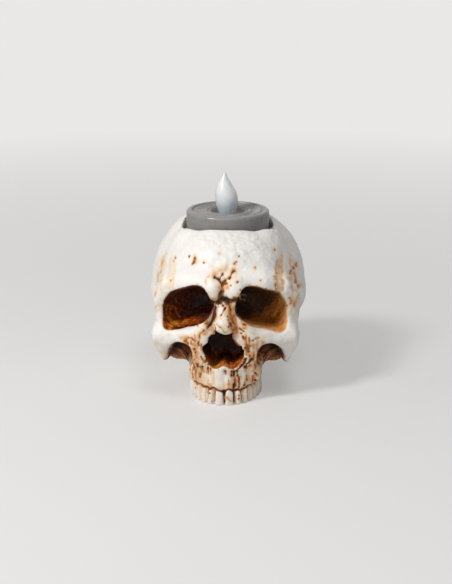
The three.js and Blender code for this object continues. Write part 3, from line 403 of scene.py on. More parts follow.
def outside_bone(points):
    """How far each point lies outside the bone, before its teeth, its seat and its flats."""
    gap = smooth_max(outside_uncut(points), -outside_orbit(points), ORBIT_RIM_ROUND)
    gap = smooth_max(gap, -outside_nose(points), NOSE_RIM_ROUND)
    for hollow in HOLLOWS:
        gap = smooth_max(gap, -outside_lump(folded(points), hollow), hollow[6])
    return gap


def outside_skull(points):
    """How far each point lies outside the finished casting."""
    shift = np.stack([noise(points, UNEVEN_WAVE, layer) for layer in (1, 2, 3)], axis=1)
    gap = outside_bone(points + UNEVENNESS * shift)
    relief = np.maximum(np.abs(jaw_share(points) - 1) * JAW_WIDTH / 2 - GUM_INSET, points[:, 2] - GUM_LINE)
    gap = smooth_max(gap, -np.maximum(relief, points[:, 1] - JAW_CENTRE - 2), 0.8)
    gap = smooth_min(gap, outside_teeth(points), 0.4)
    bore = np.hypot(points[:, 0], points[:, 1] - SEAT_SETBACK) - SEAT_RADIUS
    gap = smooth_max(gap, -smooth_max(bore, SEAT_FLOOR - points[:, 2], 1), SEAT_MOUTH_ROUND)
    floor = np.where(points[:, 1] > JAW_BACK, FELT_THICKNESS, 0)
    return smooth_max(gap, floor - points[:, 2], 0.4)


print("seat floor at", round(SEAT_FLOOR, 1), "mm, seat radius", round(SEAT_RADIUS, 1), "mm")

# %% [markdown]
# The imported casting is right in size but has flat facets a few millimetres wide. Its copy is
# remeshed into small even squares. The squares are as large as the plain back of the head allows,
# because only the face needs finer ones.

# %% From facets to even squares
CASTING_SQUARE = 1.22


def remeshed(node, square):
    """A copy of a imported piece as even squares, in a bmesh."""
    bm = bmesh.new()
    bm.from_mesh(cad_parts[node].data)
    bmesh.ops.remove_doubles(bm, verts=bm.verts, dist=0.001 * MM)
    mesh = bpy.data.meshes.new(node + "_rough")
    bm.to_mesh(mesh)
    rough = bpy.data.objects.new(node + "_rough", mesh)
    bpy.context.scene.collection.objects.link(rough)
    rough.modifiers.new("Squares", "REMESH").voxel_size = square * MM
    even = bpy.data.meshes.new_from_object(rough.evaluated_get(bpy.context.evaluated_depsgraph_get()))
    bm.clear()
    bm.from_mesh(even)
    bpy.data.objects.remove(rough)
    return bm


skin = remeshed("skull_casting", CASTING_SQUARE)
print("even squares:", len(skin.faces))

# %% [markdown]
# Each corner is moved straight onto the smooth form above, as a sculptor's shrink-wrap would do it.
# The way there is the slope of the distance, felt a little to each side of the corner, and a few
# short steps are safer than one long one.

# %% Onto the smooth form
PROBE = 0.04  # how far the distance is felt to each side, to find its slope


def slope_of(points, outside):
    """The direction in which the distance grows, at each point."""
    steps = PROBE * np.eye(3)
    return np.stack([outside(points + s) - outside(points - s) for s in steps], axis=1) / (2 * PROBE)


def settle(points, outside, reach, passes=3):
    """The points moved straight onto the surface, by at most this reach in each pass."""
    for _ in range(passes):
        slope = slope_of(points, outside)
        steep = np.maximum(np.linalg.norm(slope, axis=1), 0.3)
        move = np.clip(outside(points) / steep, -reach, reach)
        points = points - slope * (move / steep)[:, None]
    return points


def points_of(bm):
    """A mesh's corners in millimetres."""
    return np.array([v.co for v in bm.verts]) / MM


def put_points(bm, points):
    """Moves a mesh's corners to these places in millimetres."""
    for vertex, place in zip(bm.verts, points * MM):
        vertex.co = place


put_points(skin, settle(points_of(skin), outside_skull, 0.6, 4))
print("corners on the form:", len(skin.verts))

# %% [markdown]
# The squares are halved once on the face, the temples and the seat's mouth, and once more at the
# teeth and the nose, because those have the finest forms. Halving everywhere would make the mesh
# four times as heavy for the plain back of the head.

# %% Finer squares on the face


def refine(bm, wanted):
    """Splits every square whose corners all lie where the finer mesh is wanted."""
    chosen = wanted(points_of(bm))
    bm.verts.ensure_lookup_table()
    bm.verts.index_update()
    edges = [e for e in bm.edges if chosen[e.verts[0].index] and chosen[e.verts[1].index]]
    bmesh.ops.subdivide_edges(bm, edges=edges, cuts=1, use_grid_fill=True)


def on_face(points):
    """Where the squares are halved: the face, the temples and the seat's mouth."""
    x, y, z = points.T
    mouth = np.abs(np.hypot(x, y - SEAT_SETBACK) - SEAT_RADIUS - 1) < 3
    return ((y < -13) & (y < -13 - 0.4 * (z - 55))) | (mouth & (z > SPANS[2] - 5))


def on_detail(points):
    """Where they are halved again: teeth, gums, nose and the bridge between the brows."""
    x, y, z = points.T
    teeth = (z < 17) & (z > -1) & (jaw_share(points) > 0.84) & (y < JAW_CENTRE + 4)
    nose = (np.abs(x) < 12) & (z < 37) & (y < -36)
    bridge = (np.abs(x) < 9) & (z < 60) & (y < -36)
    return teeth | nose | bridge


for wanted, reach in ((on_face, 0.3), (on_detail, 0.15)):
    bmesh.ops.smooth_vert(skin, verts=skin.verts, factor=0.5,
                          use_axis_x=True, use_axis_y=True, use_axis_z=True)
    put_points(skin, settle(points_of(skin), outside_skull, 0.4))
    if wanted is on_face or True:
        refine(skin, wanted)
        put_points(skin, settle(points_of(skin), outside_skull, reach))
print("skull squares:", len(skin.faces))

# %% [markdown]
# The finer carving is a relief on that skin: grooves and bosses up to a millimetre deep, each with
# a note of how much stain it catches. Both are worked out together, because on the real casting
# the brown wash settles exactly where the surface dips. Four small functions say where on the
# skull a thing lies: a dome round a line, a ramp, a fall, and a band between two places.

# %% Carving tools
points = points_of(skin)
skin.normal_update()
normals = np.array([v.normal for v in skin.verts])
relief = np.zeros(len(points))
wash = np.zeros(len(points))
soot = np.zeros(len(points))
x, y, z = points.T
side = np.abs(x)
in_front = np.clip(-2 * normals[:, 1], 0, 1) * (y < -15)


def dome(distance, width):
    """1 at no distance, falling smoothly to 0 at about twice the width."""
    return np.exp(-(distance / width) ** 2)


def ramp(value, low, high):
    """0 below the low value, 1 above the high one, and a soft slope between."""
    share = np.clip((value - low) / (high - low), 0, 1)
    return share * share * (3 - 2 * share)


def fall(value, low, high):
    """1 below the low value, 0 above the high one, and a soft slope between."""
    return ramp(-value, -high, -low)


def band(value, start, full, less, end):
    """0 before the start, 1 from full to less, and 0 again past the end."""
    return ramp(value, start, full) * fall(value, less, end)


LOOKED_DOWN = 0.287  # how far a place seems to rise for each millimetre that it lies deeper
face_spots = points[:, [0, 2]] + 0.35 * np.stack([noise(points, 2.2, 4), noise(points, 2.2, 5)], axis=1)
print("corners to carve:", len(points))

# %% [markdown]
# The lines of the face: the crease between the brows that forks upwards, the fold under them,
# slots beside the bridge of the nose, and root sockets and nicks in the upper jaw. Each is a
# line of a few places across and up, with its depth, its half width, its stain, and its darkest
# stain with painted shade, as in the fold under the brows. The temples have a table of their own,
# because their creases are broken, and a pit is a single place.

# %% Grooves and nicks in the face
SLOT = [(-3.9, 44.8), (-4.7, 41.2), (-6.9, 35.4)]  # the deepest of the slots beside the bridge
FACE_GROOVES = [  # depth, half width, stain, darkest stain with painted shade, then the line across and up
    (1.2, 1.2, 1, 0.5, [(-0.1, 56), (-0.8, 54), (-1.1, 51.5), (-0.7, 49)]),  # between the brows
    (0.6, 0.55, 0.9, 0.5, [(-0.8, 55.2), (-1.8, 56.8), (-3, 57.6), (-4.2, 58.3)]),
    (0.3, 0.5, 0.7, 0.1, [(-1.9, 56.9), (-1.3, 58.2), (-0.6, 59)]),
    (0.6, 0.5, 0.9, 0.45, [(-0.2, 55.4), (0.6, 57), (2, 57.8), (3, 59.2), (4.3, 60.6)]),
    (1.1, 1.9, 1, 0.6, [(-6.6, 46.8), (-4.2, 47), (-2, 48), (0, 48.5), (2.6, 48.2), (5.6, 48)]),  # brows: the fold under them, with painted shadow
    (1, 0.7, 1, 0.15, SLOT),  # slots beside the bridge
    (0.8, 0.45, 1, 0.4, [(-6, 44.4), (-6.2, 42.4), (-6.9, 40.4), (-8.2, 37.6)]),
    (0.5, 0.35, 1, 0.3, [(-5.2, 45.2), (-5.6, 42), (-7.6, 37)]),
    (0.3, 0.4, 0.6, 0.1, [(-3, 38.4), (-1.2, 37), (0.6, 34.8)]),
    (0.25, 0.35, 0.55, 0.1, [(-4.4, 37.6), (-3.4, 36), (-3.6, 34.6)]),
    (0.15, 0.9, 0.95, 0.5, [(6.2, 49.6), (9.5, 51.2), (13, 51.6), (16.5, 51)]),  # over the right socket
    (0.6, 0.45, 1, 0.5, [(0.5, 44.8), (-0.4, 43.2), (-1.8, 41.7)]),
    (0.5, 0.35, 0.9, 0.3, [(-2.7, 46.4), (-2.3, 44.9)]),
    (0.5, 0.35, 0.9, 0.4, [(-1.2, 46.9), (-0.5, 45.6)]),
    (0.5, 0.5, 0.9, 0.3, [(1.8, 47), (2.4, 45.2), (3, 43.9)]),
    (0.25, 0.9, 0.7, 0.05, [(2.6, 46), (3.2, 43), (2.4, 40.6), (3.4, 37.6)]),
    (0.4, 0.4, 0.9, 0.3, [(4.6, 46.4), (4.9, 43.4), (6.2, 40.6), (9.6, 36.7)]),
    (0.25, 0.6, 0.6, 0, [(3.6, 41), (4.6, 38), (5.6, 34.6)]),
    (0.4, 0.4, 0.95, 0.6, [(6.6, 35.6), (7.6, 34.9), (8.9, 34.2)]),
    (0.3, 0.35, 0.9, 0.3, [(7.2, 35.3), (9.1, 35.4)]),
    (0.35, 0.5, 0.75, 0.1, [(-8.8, 34.4), (-10.5, 32.6), (-10.8, 30.6), (-11.4, 27)]),  # beside the nose
    (0.4, 0.7, 0.85, 0.3, [(8.2, 31.6), (9.4, 30.5), (10.2, 28.6), (10.6, 26)]),
    (0.3, 0.4, 0.7, 0.1, [(-10.2, 22.4), (-9, 19.8), (-7.2, 17)]),
    (0.6, 0.55, 0.95, 0.6, [(9.4, 21.4), (8.6, 19), (6.9, 17), (5.1, 15.9), (2.8, 15.9)]),
    (0.4, 0.4, 0.95, 0.7, [(11.9, 21.4), (11, 19.5), (10.1, 18.2), (9.2, 16.8)]),
    (0.4, 0.5, 0.7, 0.15, [(-19.8, 29.6), (-17.2, 30.5), (-14.6, 30.5), (-12.8, 29.4)]),  # cheeks
    (0.4, 0.4, 0.85, 0.3, [(12.3, 29.8), (14, 30.7), (16.6, 31.1)]),
    (0.55, 0.45, 0.95, 0.6, [(-9.6, 17), (-9.9, 14.8)]),  # root sockets
    (0.25, 0.5, 0.55, 0, [(-10.1, 14.2), (-11.2, 11.2)]),
    (0.45, 0.4, 0.85, 0.35, [(-7.4, 16.5), (-7.6, 13.8)]),
    (0.25, 0.45, 0.65, 0.05, [(-6.2, 16.8), (-5.8, 14.4), (-6.7, 12.4), (-7.3, 10.6)]),
    (0.2, 0.7, 0.5, 0, [(-12.6, 17), (-12.9, 10.6)]),
    (0.2, 0.5, 0.55, 0, [(-14.6, 16), (-14.1, 10.5)]),
    (0.7, 0.75, 1, 0.75, [(3.2, 16.4), (3, 14.2)]),
    (0.5, 0.55, 0.95, 0.5, [(4.4, 15.8), (4.6, 13.6)]),
    (0.55, 0.55, 0.95, 0.65, [(6.1, 15.9), (6, 13.4)]),
    (0.3, 0.8, 0.75, 0.1, [(5.1, 13), (5, 9)]),
    (0.3, 0.5, 0.65, 0.05, [(6.7, 12.6), (6.5, 8.2)]),
    (0.5, 0.5, 1, 0.75, [(4.3, 9.6), (4.5, 7.4)]),
    (0.35, 0.4, 0.95, 0.5, [(1.9, 12.2), (2.4, 9.6)]),
    (0.35, 0.45, 0.9, 0.4, [(9.6, 12.9), (9.8, 10.4)]),
    (0.35, 0.4, 0.85, 0.4, [(13.3, 14.2), (14.4, 12)]),
    (0.3, 0.4, 0.8, 0.3, [(12.4, 11.8), (12.6, 9.4)]),
    (0.3, 0.3, 0.9, 0.5, [(1.4, 3.7), (2.4, 2.7), (3.6, 2.1)]),  # cracks in the teeth
    (0.25, 0.3, 0.8, 0.2, [(-7.6, 4.6), (-7.2, 2.8)]),
    (0.3, 0.3, 0.8, 0.4, [(26.9, 43.6), (28.2, 41.9)]),  # outer rim of the orbit
    (0.35, 0.4, 0.5, 0, [(23.2, 62), (21.8, 57.4), (22.5, 51.6)]),  # edge of the scar on the temple
]
TEMPLE_GROOVES = [  # the same, on the temples
    (0.9, 0.8, 0.75, 0.1, [(28.4, 54.4), (29.4, 57.4), (31.8, 60.2), (33.8, 62.4)]),
    (0.5, 0.35, 0.75, 0.2, [(28.6, 52.6), (28.4, 56.4)]),
    (0.6, 0.5, 0.8, 0.3, [(31.4, 48.8), (33.2, 50.4), (35.4, 51)]),
    (0.5, 0.45, 0.85, 0.5, [(32.2, 44.6), (33.6, 47), (34.2, 49)]),
    (0.5, 0.4, 0.7, 0.1, [(28.4, 44.4), (30, 42.6), (30.6, 40.4)]),
    (0.7, 0.7, 0.55, 0, [(-28.6, 52), (-29.8, 56), (-30.2, 60.4)]),
    (0.5, 0.5, 0.6, 0.1, [(-31.4, 45.4), (-32.6, 48.6), (-31.8, 51.6)]),
]
FACE_PITS = [  # across, up, radius, darkest stain with painted shade
    (-13.2, 64.2, 0.6, 0.5), (-13.5, 63, 0.65, 0.5), (-14, 62.2, 0.5, 0.2), (-9, 63.1, 0.5, 0.4),
    (-15.7, 64.5, 0.5, 0.4), (-22.4, 62.4, 0.6, 0.2), (-23.2, 61.1, 0.5, 0.1), (-2.7, 66.8, 0.35, 0.4),
    (6.2, 65.8, 0.55, 1), (5, 63.8, 0.45, 0.3), (4.3, 63.2, 0.4, 0.3), (13.2, 61.2, 0.4, 0.1),
    (21.7, 65.5, 0.5, 0.5), (-4.3, 58.2, 0.7, 0.9), (-2.9, 57.6, 0.5, 0.6), (2, 57.7, 0.6, 0.8),
    (0.7, 56.8, 0.6, 0.5), (2.9, 55.2, 0.4, 0.6), (5.6, 56.6, 0.5, 0.1), (-9.4, 51.6, 0.4, 0.7),
    (-7.7, 50.5, 0.5, 0.8), (-8.4, 51, 0.4, 0.5), (2.8, 44, 0.4, 0.8), (1.6, 41.6, 0.6, 0.4),
    (2.2, 37.4, 0.45, 0.4), (7.3, 33.3, 0.45, 0.3), (-11.8, 36.4, 0.35, 0.4), (-10.9, 27.4, 0.5, 0.3),
    (11, 25, 0.5, 0.6), (10.2, 23.6, 0.5, 0.5), (11.4, 27.4, 0.4, 0.3), (9.2, 27, 0.45, 0.7),
    (9.2, 17, 0.8, 1), (10, 18.5, 0.5, 0.8), (11.9, 21.2, 0.5, 0.9), (0.6, 16.1, 0.8, 1),
    (0.6, 14.8, 0.45, 0.3), (-2.4, 17.9, 0.4, 0.8), (-2.4, 16.9, 0.35, 0.3), (-9.7, 16.8, 0.6, 1),
    (3.3, 14, 0.7, 0.9), (6, 15.3, 0.6, 0.9), (4.3, 8.6, 0.6, 1), (8.9, 8.5, 0.65, 1),
    (8.7, 9.7, 0.35, 0.1), (2, 11.7, 0.45, 0.8), (14.1, 12.8, 0.5, 0.6), (-6.7, 5.3, 0.45, 0.9),
    (-12.6, 6.7, 0.35, 0.6), (-13.4, 4.9, 0.35, 0.6), (-5.4, 1.4, 0.3, 0.5), (-4.3, 1.5, 0.3, 0.4),
    (6.2, 4.3, 0.4, 0.7), (6.3, 2.7, 0.45, 0.7), (13.5, 6.6, 0.4, 0.5), (26.2, 33.2, 0.4, 0.3),
    (15.6, 56.8, 0.4, 0.3), (-24, 55, 0.4, 0.2),
]

print("grooves:", len(FACE_GROOVES) + len(TEMPLE_GROOVES), "pits:", len(FACE_PITS))

# %% [markdown]
# Each groove is carved with a dome round its line. Its width is ragged, and a thin halo of wash
# stays beside it where the wiping cloth missed. The creases of the temples are broken by noise, so
# that they look like crumpled paint and not like drawn lines.

# %% Carve the grooves and pits
ragged = np.clip(0.8 + 0.7 * noise(points, 1.7, 21), 0.15, 1.2)
wiped = np.clip(0.5 + 0.9 * noise(points, 2.8, 22), 0, 1)
# The bottom of each groove and pit also takes its darkest stain with painted shade.
for depth, width, stain, dark, line in FACE_GROOVES:
    away = from_line(face_spots, line)
    share = dome(away, width * ragged) * in_front
    relief -= depth * share
    halo = 0.4 * dome(away, 2.6 * width + 0.4) * wiped * in_front
    wash = np.maximum(wash, stain * np.maximum(share * ragged, halo))
    soot = np.maximum(soot, dark * share * ragged)
on_temple = ramp(side, 26, 28)
temple_spots = face_spots + np.outer(y + 24, [0, LOOKED_DOWN])
broken = ramp(noise(points, 3.5, 37), -0.45, 0.25) * fall(y, -2, 8)
for depth, width, stain, dark, line in TEMPLE_GROOVES:
    away = from_line(temple_spots, line)
    share = dome(away, width * ragged) * on_temple * broken
    halo = 0.45 * dome(away, 3 * width) * wiped * on_temple * broken
    relief -= depth * share
    wash = np.maximum(wash, stain * np.maximum(share, halo))
    soot = np.maximum(soot, dark * share * ragged)
for across, up, radius, dark in FACE_PITS:
    away = np.hypot(face_spots[:, 0] - across, face_spots[:, 1] - up)
    share = dome(away, radius * np.sqrt(ragged)) * in_front
    relief -= 0.5 * radius * share
    wash = np.maximum(wash, np.maximum(0.9 * share, 0.3 * dome(away, 2.4 * radius) * wiped * in_front))
    soot = np.maximum(soot, dark * share)
print("carved down to", relief.min().round(2), "mm")

# %% [markdown]
# Between the brows two bosses swell, the left one larger, with a healed scar round it. A boss
# that is less than 0 proud is a dip, as in the flat sides of the cheekbones. The tan scar on the
# right temple is a shallow step with a clean edge, and a fainter one is guessed on the left.

# %% Bosses and scars
FACE_BOSSES = [  # across, up, half width, half height, how proud
    (-4.9, 53.4, 3.7, 4.3, 1), (4.3, 51.8, 3.2, 3.6, 0.6), (27.6, 40.6, 1, 1.3, 0.5),
    (-9.4, 33.4, 1.4, 1.8, 0.4), (8.4, 26.2, 0.6, 0.8, 0.5), (-0.8, 43.6, 1, 1.2, 0.3),
    (-1.6, 38.6, 1.6, 1.8, 0.35), (0.7, 35.4, 1.8, 1.2, 0.45), (-3.2, 35.8, 1.2, 1, 0.5),
    (-5.2, 37.4, 0.8, 1.4, 0.35), (3.6, 34.6, 0.9, 1.4, 0.3), (-5.6, 40.9, 0.5, 2.2, 0.35),
    (-1.2, 16.8, 1.2, 2, 0.4), (6.2, 29.6, 1.6, 1.8, 0.35), (-8.6, 30.4, 1.2, 1.4, 0.3),
    (-27.5, 28.5, 3, 4.5, -0.7), (27.5, 28.5, 3, 4.5, -0.7), (-20, 32.4, 5, 1.3, 0.4),
    (20, 32.4, 5, 1.3, 0.4), (-31.5, 27, 1.2, 6, 0.5), (31.5, 27, 1.2, 6, 0.5),
]
for across, up, half_width, half_height, proud in FACE_BOSSES:
    reach = np.hypot((x - across) / half_width, (z - up) / half_height)
    relief += proud * dome(reach, 1) * in_front

ring_of_scar = np.abs(np.hypot(face_spots[:, 0] + 6.4, (face_spots[:, 1] - 56.2) / 1.5) - 1.5)
scar = dome(ring_of_scar, 0.35) * in_front * (face_spots[:, 0] < -6) * ramp(noise(points, 1.8, 26), -0.7, 0.3)
temple_across = np.abs(face_spots[:, 0]) - 24.4 + 0.1 * (z - 56) + 0.8 * noise(points, 2.6, 34)
patch_end = z + 0.9 * noise(points, 2.2, 35) - 0.5 * temple_across
patch_share = np.where(x > 0, 1, 0.5) * (y < -12)
patch = fall(np.abs(temple_across), 1.5, 2) * band(patch_end, 49, 51, 61.3, 62.3) * patch_share
edge_of_patch = dome(np.abs(temple_across) - 2, 0.35) * band(patch_end, 50, 52, 60, 62)
relief -= 0.2 * scar + 0.45 * patch
wash = np.maximum.reduce([
    wash, 0.3 * scar, patch * (0.2 + 0.06 * wiped + 0.1 * noise(points, 1.2, 36)),
    0.55 * edge_of_patch * (temple_across < 0) * ragged * patch_share,
])
print("scar on the temple covers", int((patch > 0.5).sum()), "corners")

# %% [markdown]
# Teeth: the gum line is a ragged dark groove that wanders up and down, and below it the teeth lie
# close, with gaps that are dark at the top and fade before the biting edge. Some gaps are nearly
# black and some only tan, so each has its own stain. Above the gum line the roots show as soft
# upright ridges.

# %% Gaps, gum line and roots
GAP_STAINS_RIGHT = [1, 1, 0.85, 0.7, 0.7, 0.6, 0.5, 0.4]
GAP_STAINS_LEFT = [1, 0.6, 0.75, 0.7, 0.6, 0.5, 0.5, 0.4]
GUM_PLACES = [-20, -12, -10, -7, -4.6, -2.6, -0.8, 0.2, 1.8, 3.2, 4.4, 6, 7.6, 9, 11, 13.5, 16, 20]
GUM_HEIGHTS = [8.6, 8.2, 7.4, 7.2, 7.6, 7.1, 6.6, 6.5, 7.6, 7, 6.5, 6.8, 6.3, 6.9, 7.5, 8, 8.4, 8.6]
GAP_HALF_WIDTH = 0.3
ROOT_SWELL = 0.5

place = along_arch(points)
jaw_front = ramp(jaw_share(points), 0.8, 0.95) * (y < JAW_CENTRE + 3)
ends = np.concatenate([-TOOTH_ENDS[:0:-1], TOOTH_ENDS])
gap_stains = np.array(GAP_STAINS_LEFT[:0:-1] + GAP_STAINS_RIGHT)
gaps_away = np.abs((place + 0.2 * noise(points, 2.5, 6))[:, None] - ends)
gap = gaps_away.min(axis=1)
gap_stain = gap_stains[gaps_away.argmin(axis=1)]
tooth_index = np.clip(np.searchsorted(ends, place) - 1, 0, len(ends) - 2)
first, last = ends[tooth_index], ends[tooth_index + 1]
across_tooth = np.clip(2 * (place - first) / (last - first) - 1, -1, 1)
gum = np.interp(x, GUM_PLACES, GUM_HEIGHTS) + 0.3 * noise(points, 1.6, 7)
below_gum = ramp(gum - z, -0.2, 0.3)
fading = ramp(z, 0.4, 1.6 + 2.2 * (1 - gap_stain))
widening = GAP_HALF_WIDTH * (1 + 0.9 * ramp(z, 4, 7))
between = dome(gap, widening) * jaw_front * below_gum * fading * (0.6 + 0.4 * gap_stain)
gum_groove = dome(z - gum, 0.45) * jaw_front * fall(np.abs(place), 15, 19)
root = np.cos(math.pi / 2 * across_tooth) * band(z, GUM_LINE, GUM_LINE + 1.5, 11, 19) * jaw_front
relief += ROOT_SWELL * (root - 0.4 * (root > 0)) - 0.6 * between - 0.5 * gum_groove
wash = np.maximum.reduce([
    wash, between * (0.6 + 0.4 * gap_stain), 0.95 * gum_groove,
    0.2 * gap_stain * dome(gap, 0.7) * below_gum * jaw_front * fading * wiped,
    0.3 * dome(z - gum - 0.6, 1) * wiped * jaw_front,
    0.26 * dome(gap, 0.9) * wiped * jaw_front * ramp(z, 7, 9) * fall(z, 8, 17),
])
# Painted shade with the darkest stain, in the tooth gaps and along the gum groove.
soot = np.maximum.reduce([
    soot, 0.9 * gap_stain ** 2 * between,
    0.85 * gum_groove * ramp(noise(points, 2.2, 8), -0.5, 0.3) * fall(np.abs(x - 1.5), 10, 13),
])
print("tooth gaps:", len(ends) - 2)

# %% [markdown]
# The stain lies where the skull is hollow: in narrow dips, in the sockets and the nose, and under
# the cheekbones. How closed in a place is follows from the distance a little way off the skin, and
# how deep it lies in an opening from the distance to the bone as it was before the openings were
# cut.

# %% Dips, openings and cheek hollows
CHEEK_TURN = (27, 10)


def closed_in(reach):
    """0 in the open, towards 1 in a narrow dip, felt at this distance off the skin."""
    return np.clip(1 - outside_skull(points + reach * normals) / reach, 0, 1)


narrow, wide = closed_in(1.5), closed_in(5)
buried = -outside_uncut(points)  # how deep under the uncut bone
in_orbit = ramp(buried, 0.1, 0.5) * (outside_orbit(points) < 1) * (y < -17)
in_nose = ramp(buried, 0.4, 1.3) * (outside_nose(points) < 1) * (y < -22)
sided = np.stack([side, y, z], axis=1)

# The cheek hollows' streaks run in rings round a place below the cheekbone's tip.
ring_of_cheek = np.hypot(side - CHEEK_TURN[0], z - CHEEK_TURN[1])
turn_in_cheek = np.arctan2(z - CHEEK_TURN[1], side - CHEEK_TURN[0])
streak = noise(np.stack([ring_of_cheek * 2.2, turn_in_cheek * 2.4, y * 0.25], axis=1), 1, 9)
off_hollow = np.minimum(outside_lump(sided, HOLLOWS[0]), outside_lump(sided, HOLLOWS[1]))
behind_cheek = band(side, 15.5, 17.5, 27, 30) * fall(z, 27, 30) * ramp(y, -27, -24.5)
behind_cheek *= (y < 2) * ramp(-normals[:, 1], 0.05, 0.4)
under_cheek = fall(off_hollow, 0, 0.9) * (y < -12) * ramp(buried, 0.2, 1)
under_cheek = np.maximum(under_cheek, behind_cheek) * ramp(z, 3, 8)
print("corners in the sockets:", int(in_orbit.sum()), "and in the nose:", int((in_nose > 0.5).sum()))

# %% [markdown]
# The brush went round inside the sockets, and its bristles left short strokes. A thin tan haze
# lies everywhere, more on the jaw, whose sides were brushed downwards. In front of the temples the
# paint is crumpled and tan, darker in its dips and lower down.

# %% Brush marks, haze and crumpled temples
turn_in_orbit = np.arctan2(z - ORBIT_PLACE[2], side - ORBIT_PLACE[0])
ring_in_orbit = np.hypot(z - ORBIT_PLACE[2], side - ORBIT_PLACE[0])
bristles = np.stack([ring_in_orbit * 1.8, turn_in_orbit * 6 + 0.25 * ring_in_orbit, y], axis=1)
stroke = noise(bristles + 1.2 * noise(points, 3, 3)[:, None], 1.1, 10)
relief += 0.4 * stroke * in_orbit + 0.3 * streak * under_cheek + 0.3 * noise(points, 1.6, 23) * in_nose
haze = ramp(noise(points, 7, 12) + 0.6 * noise(points, 2.5, 13), -0.2, 1.1)
haze_on_jaw = haze * band(z, 7, 10, 10, 24) * fall(side, 17, 20)
on_teeth = jaw_front * fall(z, GUM_LINE - 1, GUM_LINE + 1)
jaw_side = band(side, 9, 12, 17.5, 19.5) * fall(y, -22, -16) * band(z, 5, 10, 27, 33)
waver = np.stack([0.7 * noise(points, 2.2, 38), np.zeros(len(points)), 0.5 * noise(points, 1.7, 39)], axis=1)
brushed_down = noise(np.stack([x * 1.1, y * 0.5, z * 0.18], axis=1) + waver, 1, 27)
brushed_down = 0.7 * brushed_down + 0.5 * noise(points + waver, 1.2, 30)
beside_nose = band(side, 7.5, 9.5, 12, 15) * band(z, 12, 18, 31, 35) * in_front
crumpled_temples = ramp(side, 26.5, 30) * band(z, 36, 42, 58, 66) * fall(y, -6, 0)
crumpled = 0.7 * noise(points, 3.2, 31) + 0.6 * noise(points, 1.5, 32)
relief += 0.7 * crumpled * crumpled_temples + 0.15 * brushed_down * jaw_side
print("corners with temple dirt:", int((crumpled_temples > 0.3).sum()))

# %% [markdown]
# Where two of these stains meet, the stronger one shows, because a wash is wiped and doesn't build
# up. So each corner takes the largest of them all. The teeth are wiped cleaner than the rest.

# %% All the wash together
left_of_slots = dome(np.hypot((x + 8.6) / 2, (z - 33.6) / 1.6), 1)
right_of_bridge = fall(np.abs(x - 3.8 + 0.16 * (z - 40)), 1, 2.6) * band(z, 31, 35, 45, 48)
wash = np.maximum.reduce([
    wash,
    0.7 * ramp(narrow, 0.2, 0.8) * (1 - 0.8 * on_teeth),
    0.4 * ramp(wide, 0.45, 0.95) * (0.35 + 0.65 * wiped) * (1 - 0.7 * on_teeth),
    under_cheek * (0.66 + 0.3 * streak),
    0.16 * haze * fall(z, 40, 60),
    0.42 * haze * dome(np.hypot(x / 8, (z - 59.5) / 3), 1) * in_front,
    jaw_side * (0.3 + 0.3 * brushed_down),
    0.8 * jaw_side * ramp(brushed_down, 0.1, 0.5),
    0.55 * beside_nose * ramp(brushed_down, -0.05, 0.45),
    haze_on_jaw * (0.09 + 0.21 * ramp(side, 6, 11)),
    crumpled_temples * (0.18 - 0.36 * crumpled),
    0.5 * crumpled_temples * fall(crumpled, -0.6, -0.2) * fall(z, 46, 57),
    0.36 * left_of_slots * in_front, (0.3 + 0.2 * wiped) * right_of_bridge * in_front,
    0.8 * in_orbit, 0.8 * in_nose,
])
print("washed corners:", int((wash > 0.3).sum()))

# %% [markdown]
# Inside the sockets the stain is a thick varnish. The left one runs from black under the brow,
# where painted shade lies over dark varnish, to rust on its floor, and to brushed ochre at its
# outer end. The right one is black in its upper inner part only, which is painted shade under the
# brow, then amber, and tan to cream at its lower and outer rim, where painted light makes the
# varnish paler. Both are painted as they look to someone who faces the skull from a little above,
# so a place deep in the socket counts as higher than it is.

# %% Varnish in the sockets, and painted shade
RIM_PLACES = [0, 6, 10, 16, 20, 27]
RIM_DEPTHS = [-43, -41, -40, -36.5, -34, -32.6]
DARK_PLACES = [6, 12, 16, 20, 24, 26]
DARK_HEIGHTS = [39, 38.5, 40, 43, 46.5, 47.5]

on_left = x < 0
seen = z + LOOKED_DOWN * (y - np.interp(side, RIM_PLACES, RIM_DEPTHS))
shaken = seen + 1.2 * stroke + 0.8 * noise(points, 3.5, 28)
ochre_end = ramp(side + 1.5 * stroke, 17, 24) * fall(shaken, 40, 48)
rust_floor = fall(shaken + 0.12 * np.abs(side - 15), 37, 41)
# Painted shade: in the left socket over all but its floor and outer end, blackest in the nook under the brow,
# and in the right one above a line that rises outwards.
black_nook = dome(np.hypot((side - 11.5) / 6.5, (shaken - 46.5) / 5), 1)
dark_left = np.maximum(black_nook, 0.62 * (1 - np.maximum(0.9 * ochre_end, rust_floor)))
edge_of_dark = np.interp(side, DARK_PLACES, DARK_HEIGHTS)
dark_right = ramp(shaken + 2 * stroke - edge_of_dark, -3, 3.5)
# Painted light on the right socket's lower and outer rim: paler varnish, less stain, less gloss and no shade.
pale_lit_right_rim = np.maximum(ramp(side + 0.6 * stroke, 23.6, 26), fall(seen + 0.35 * (side - 18), 34.6, 37))

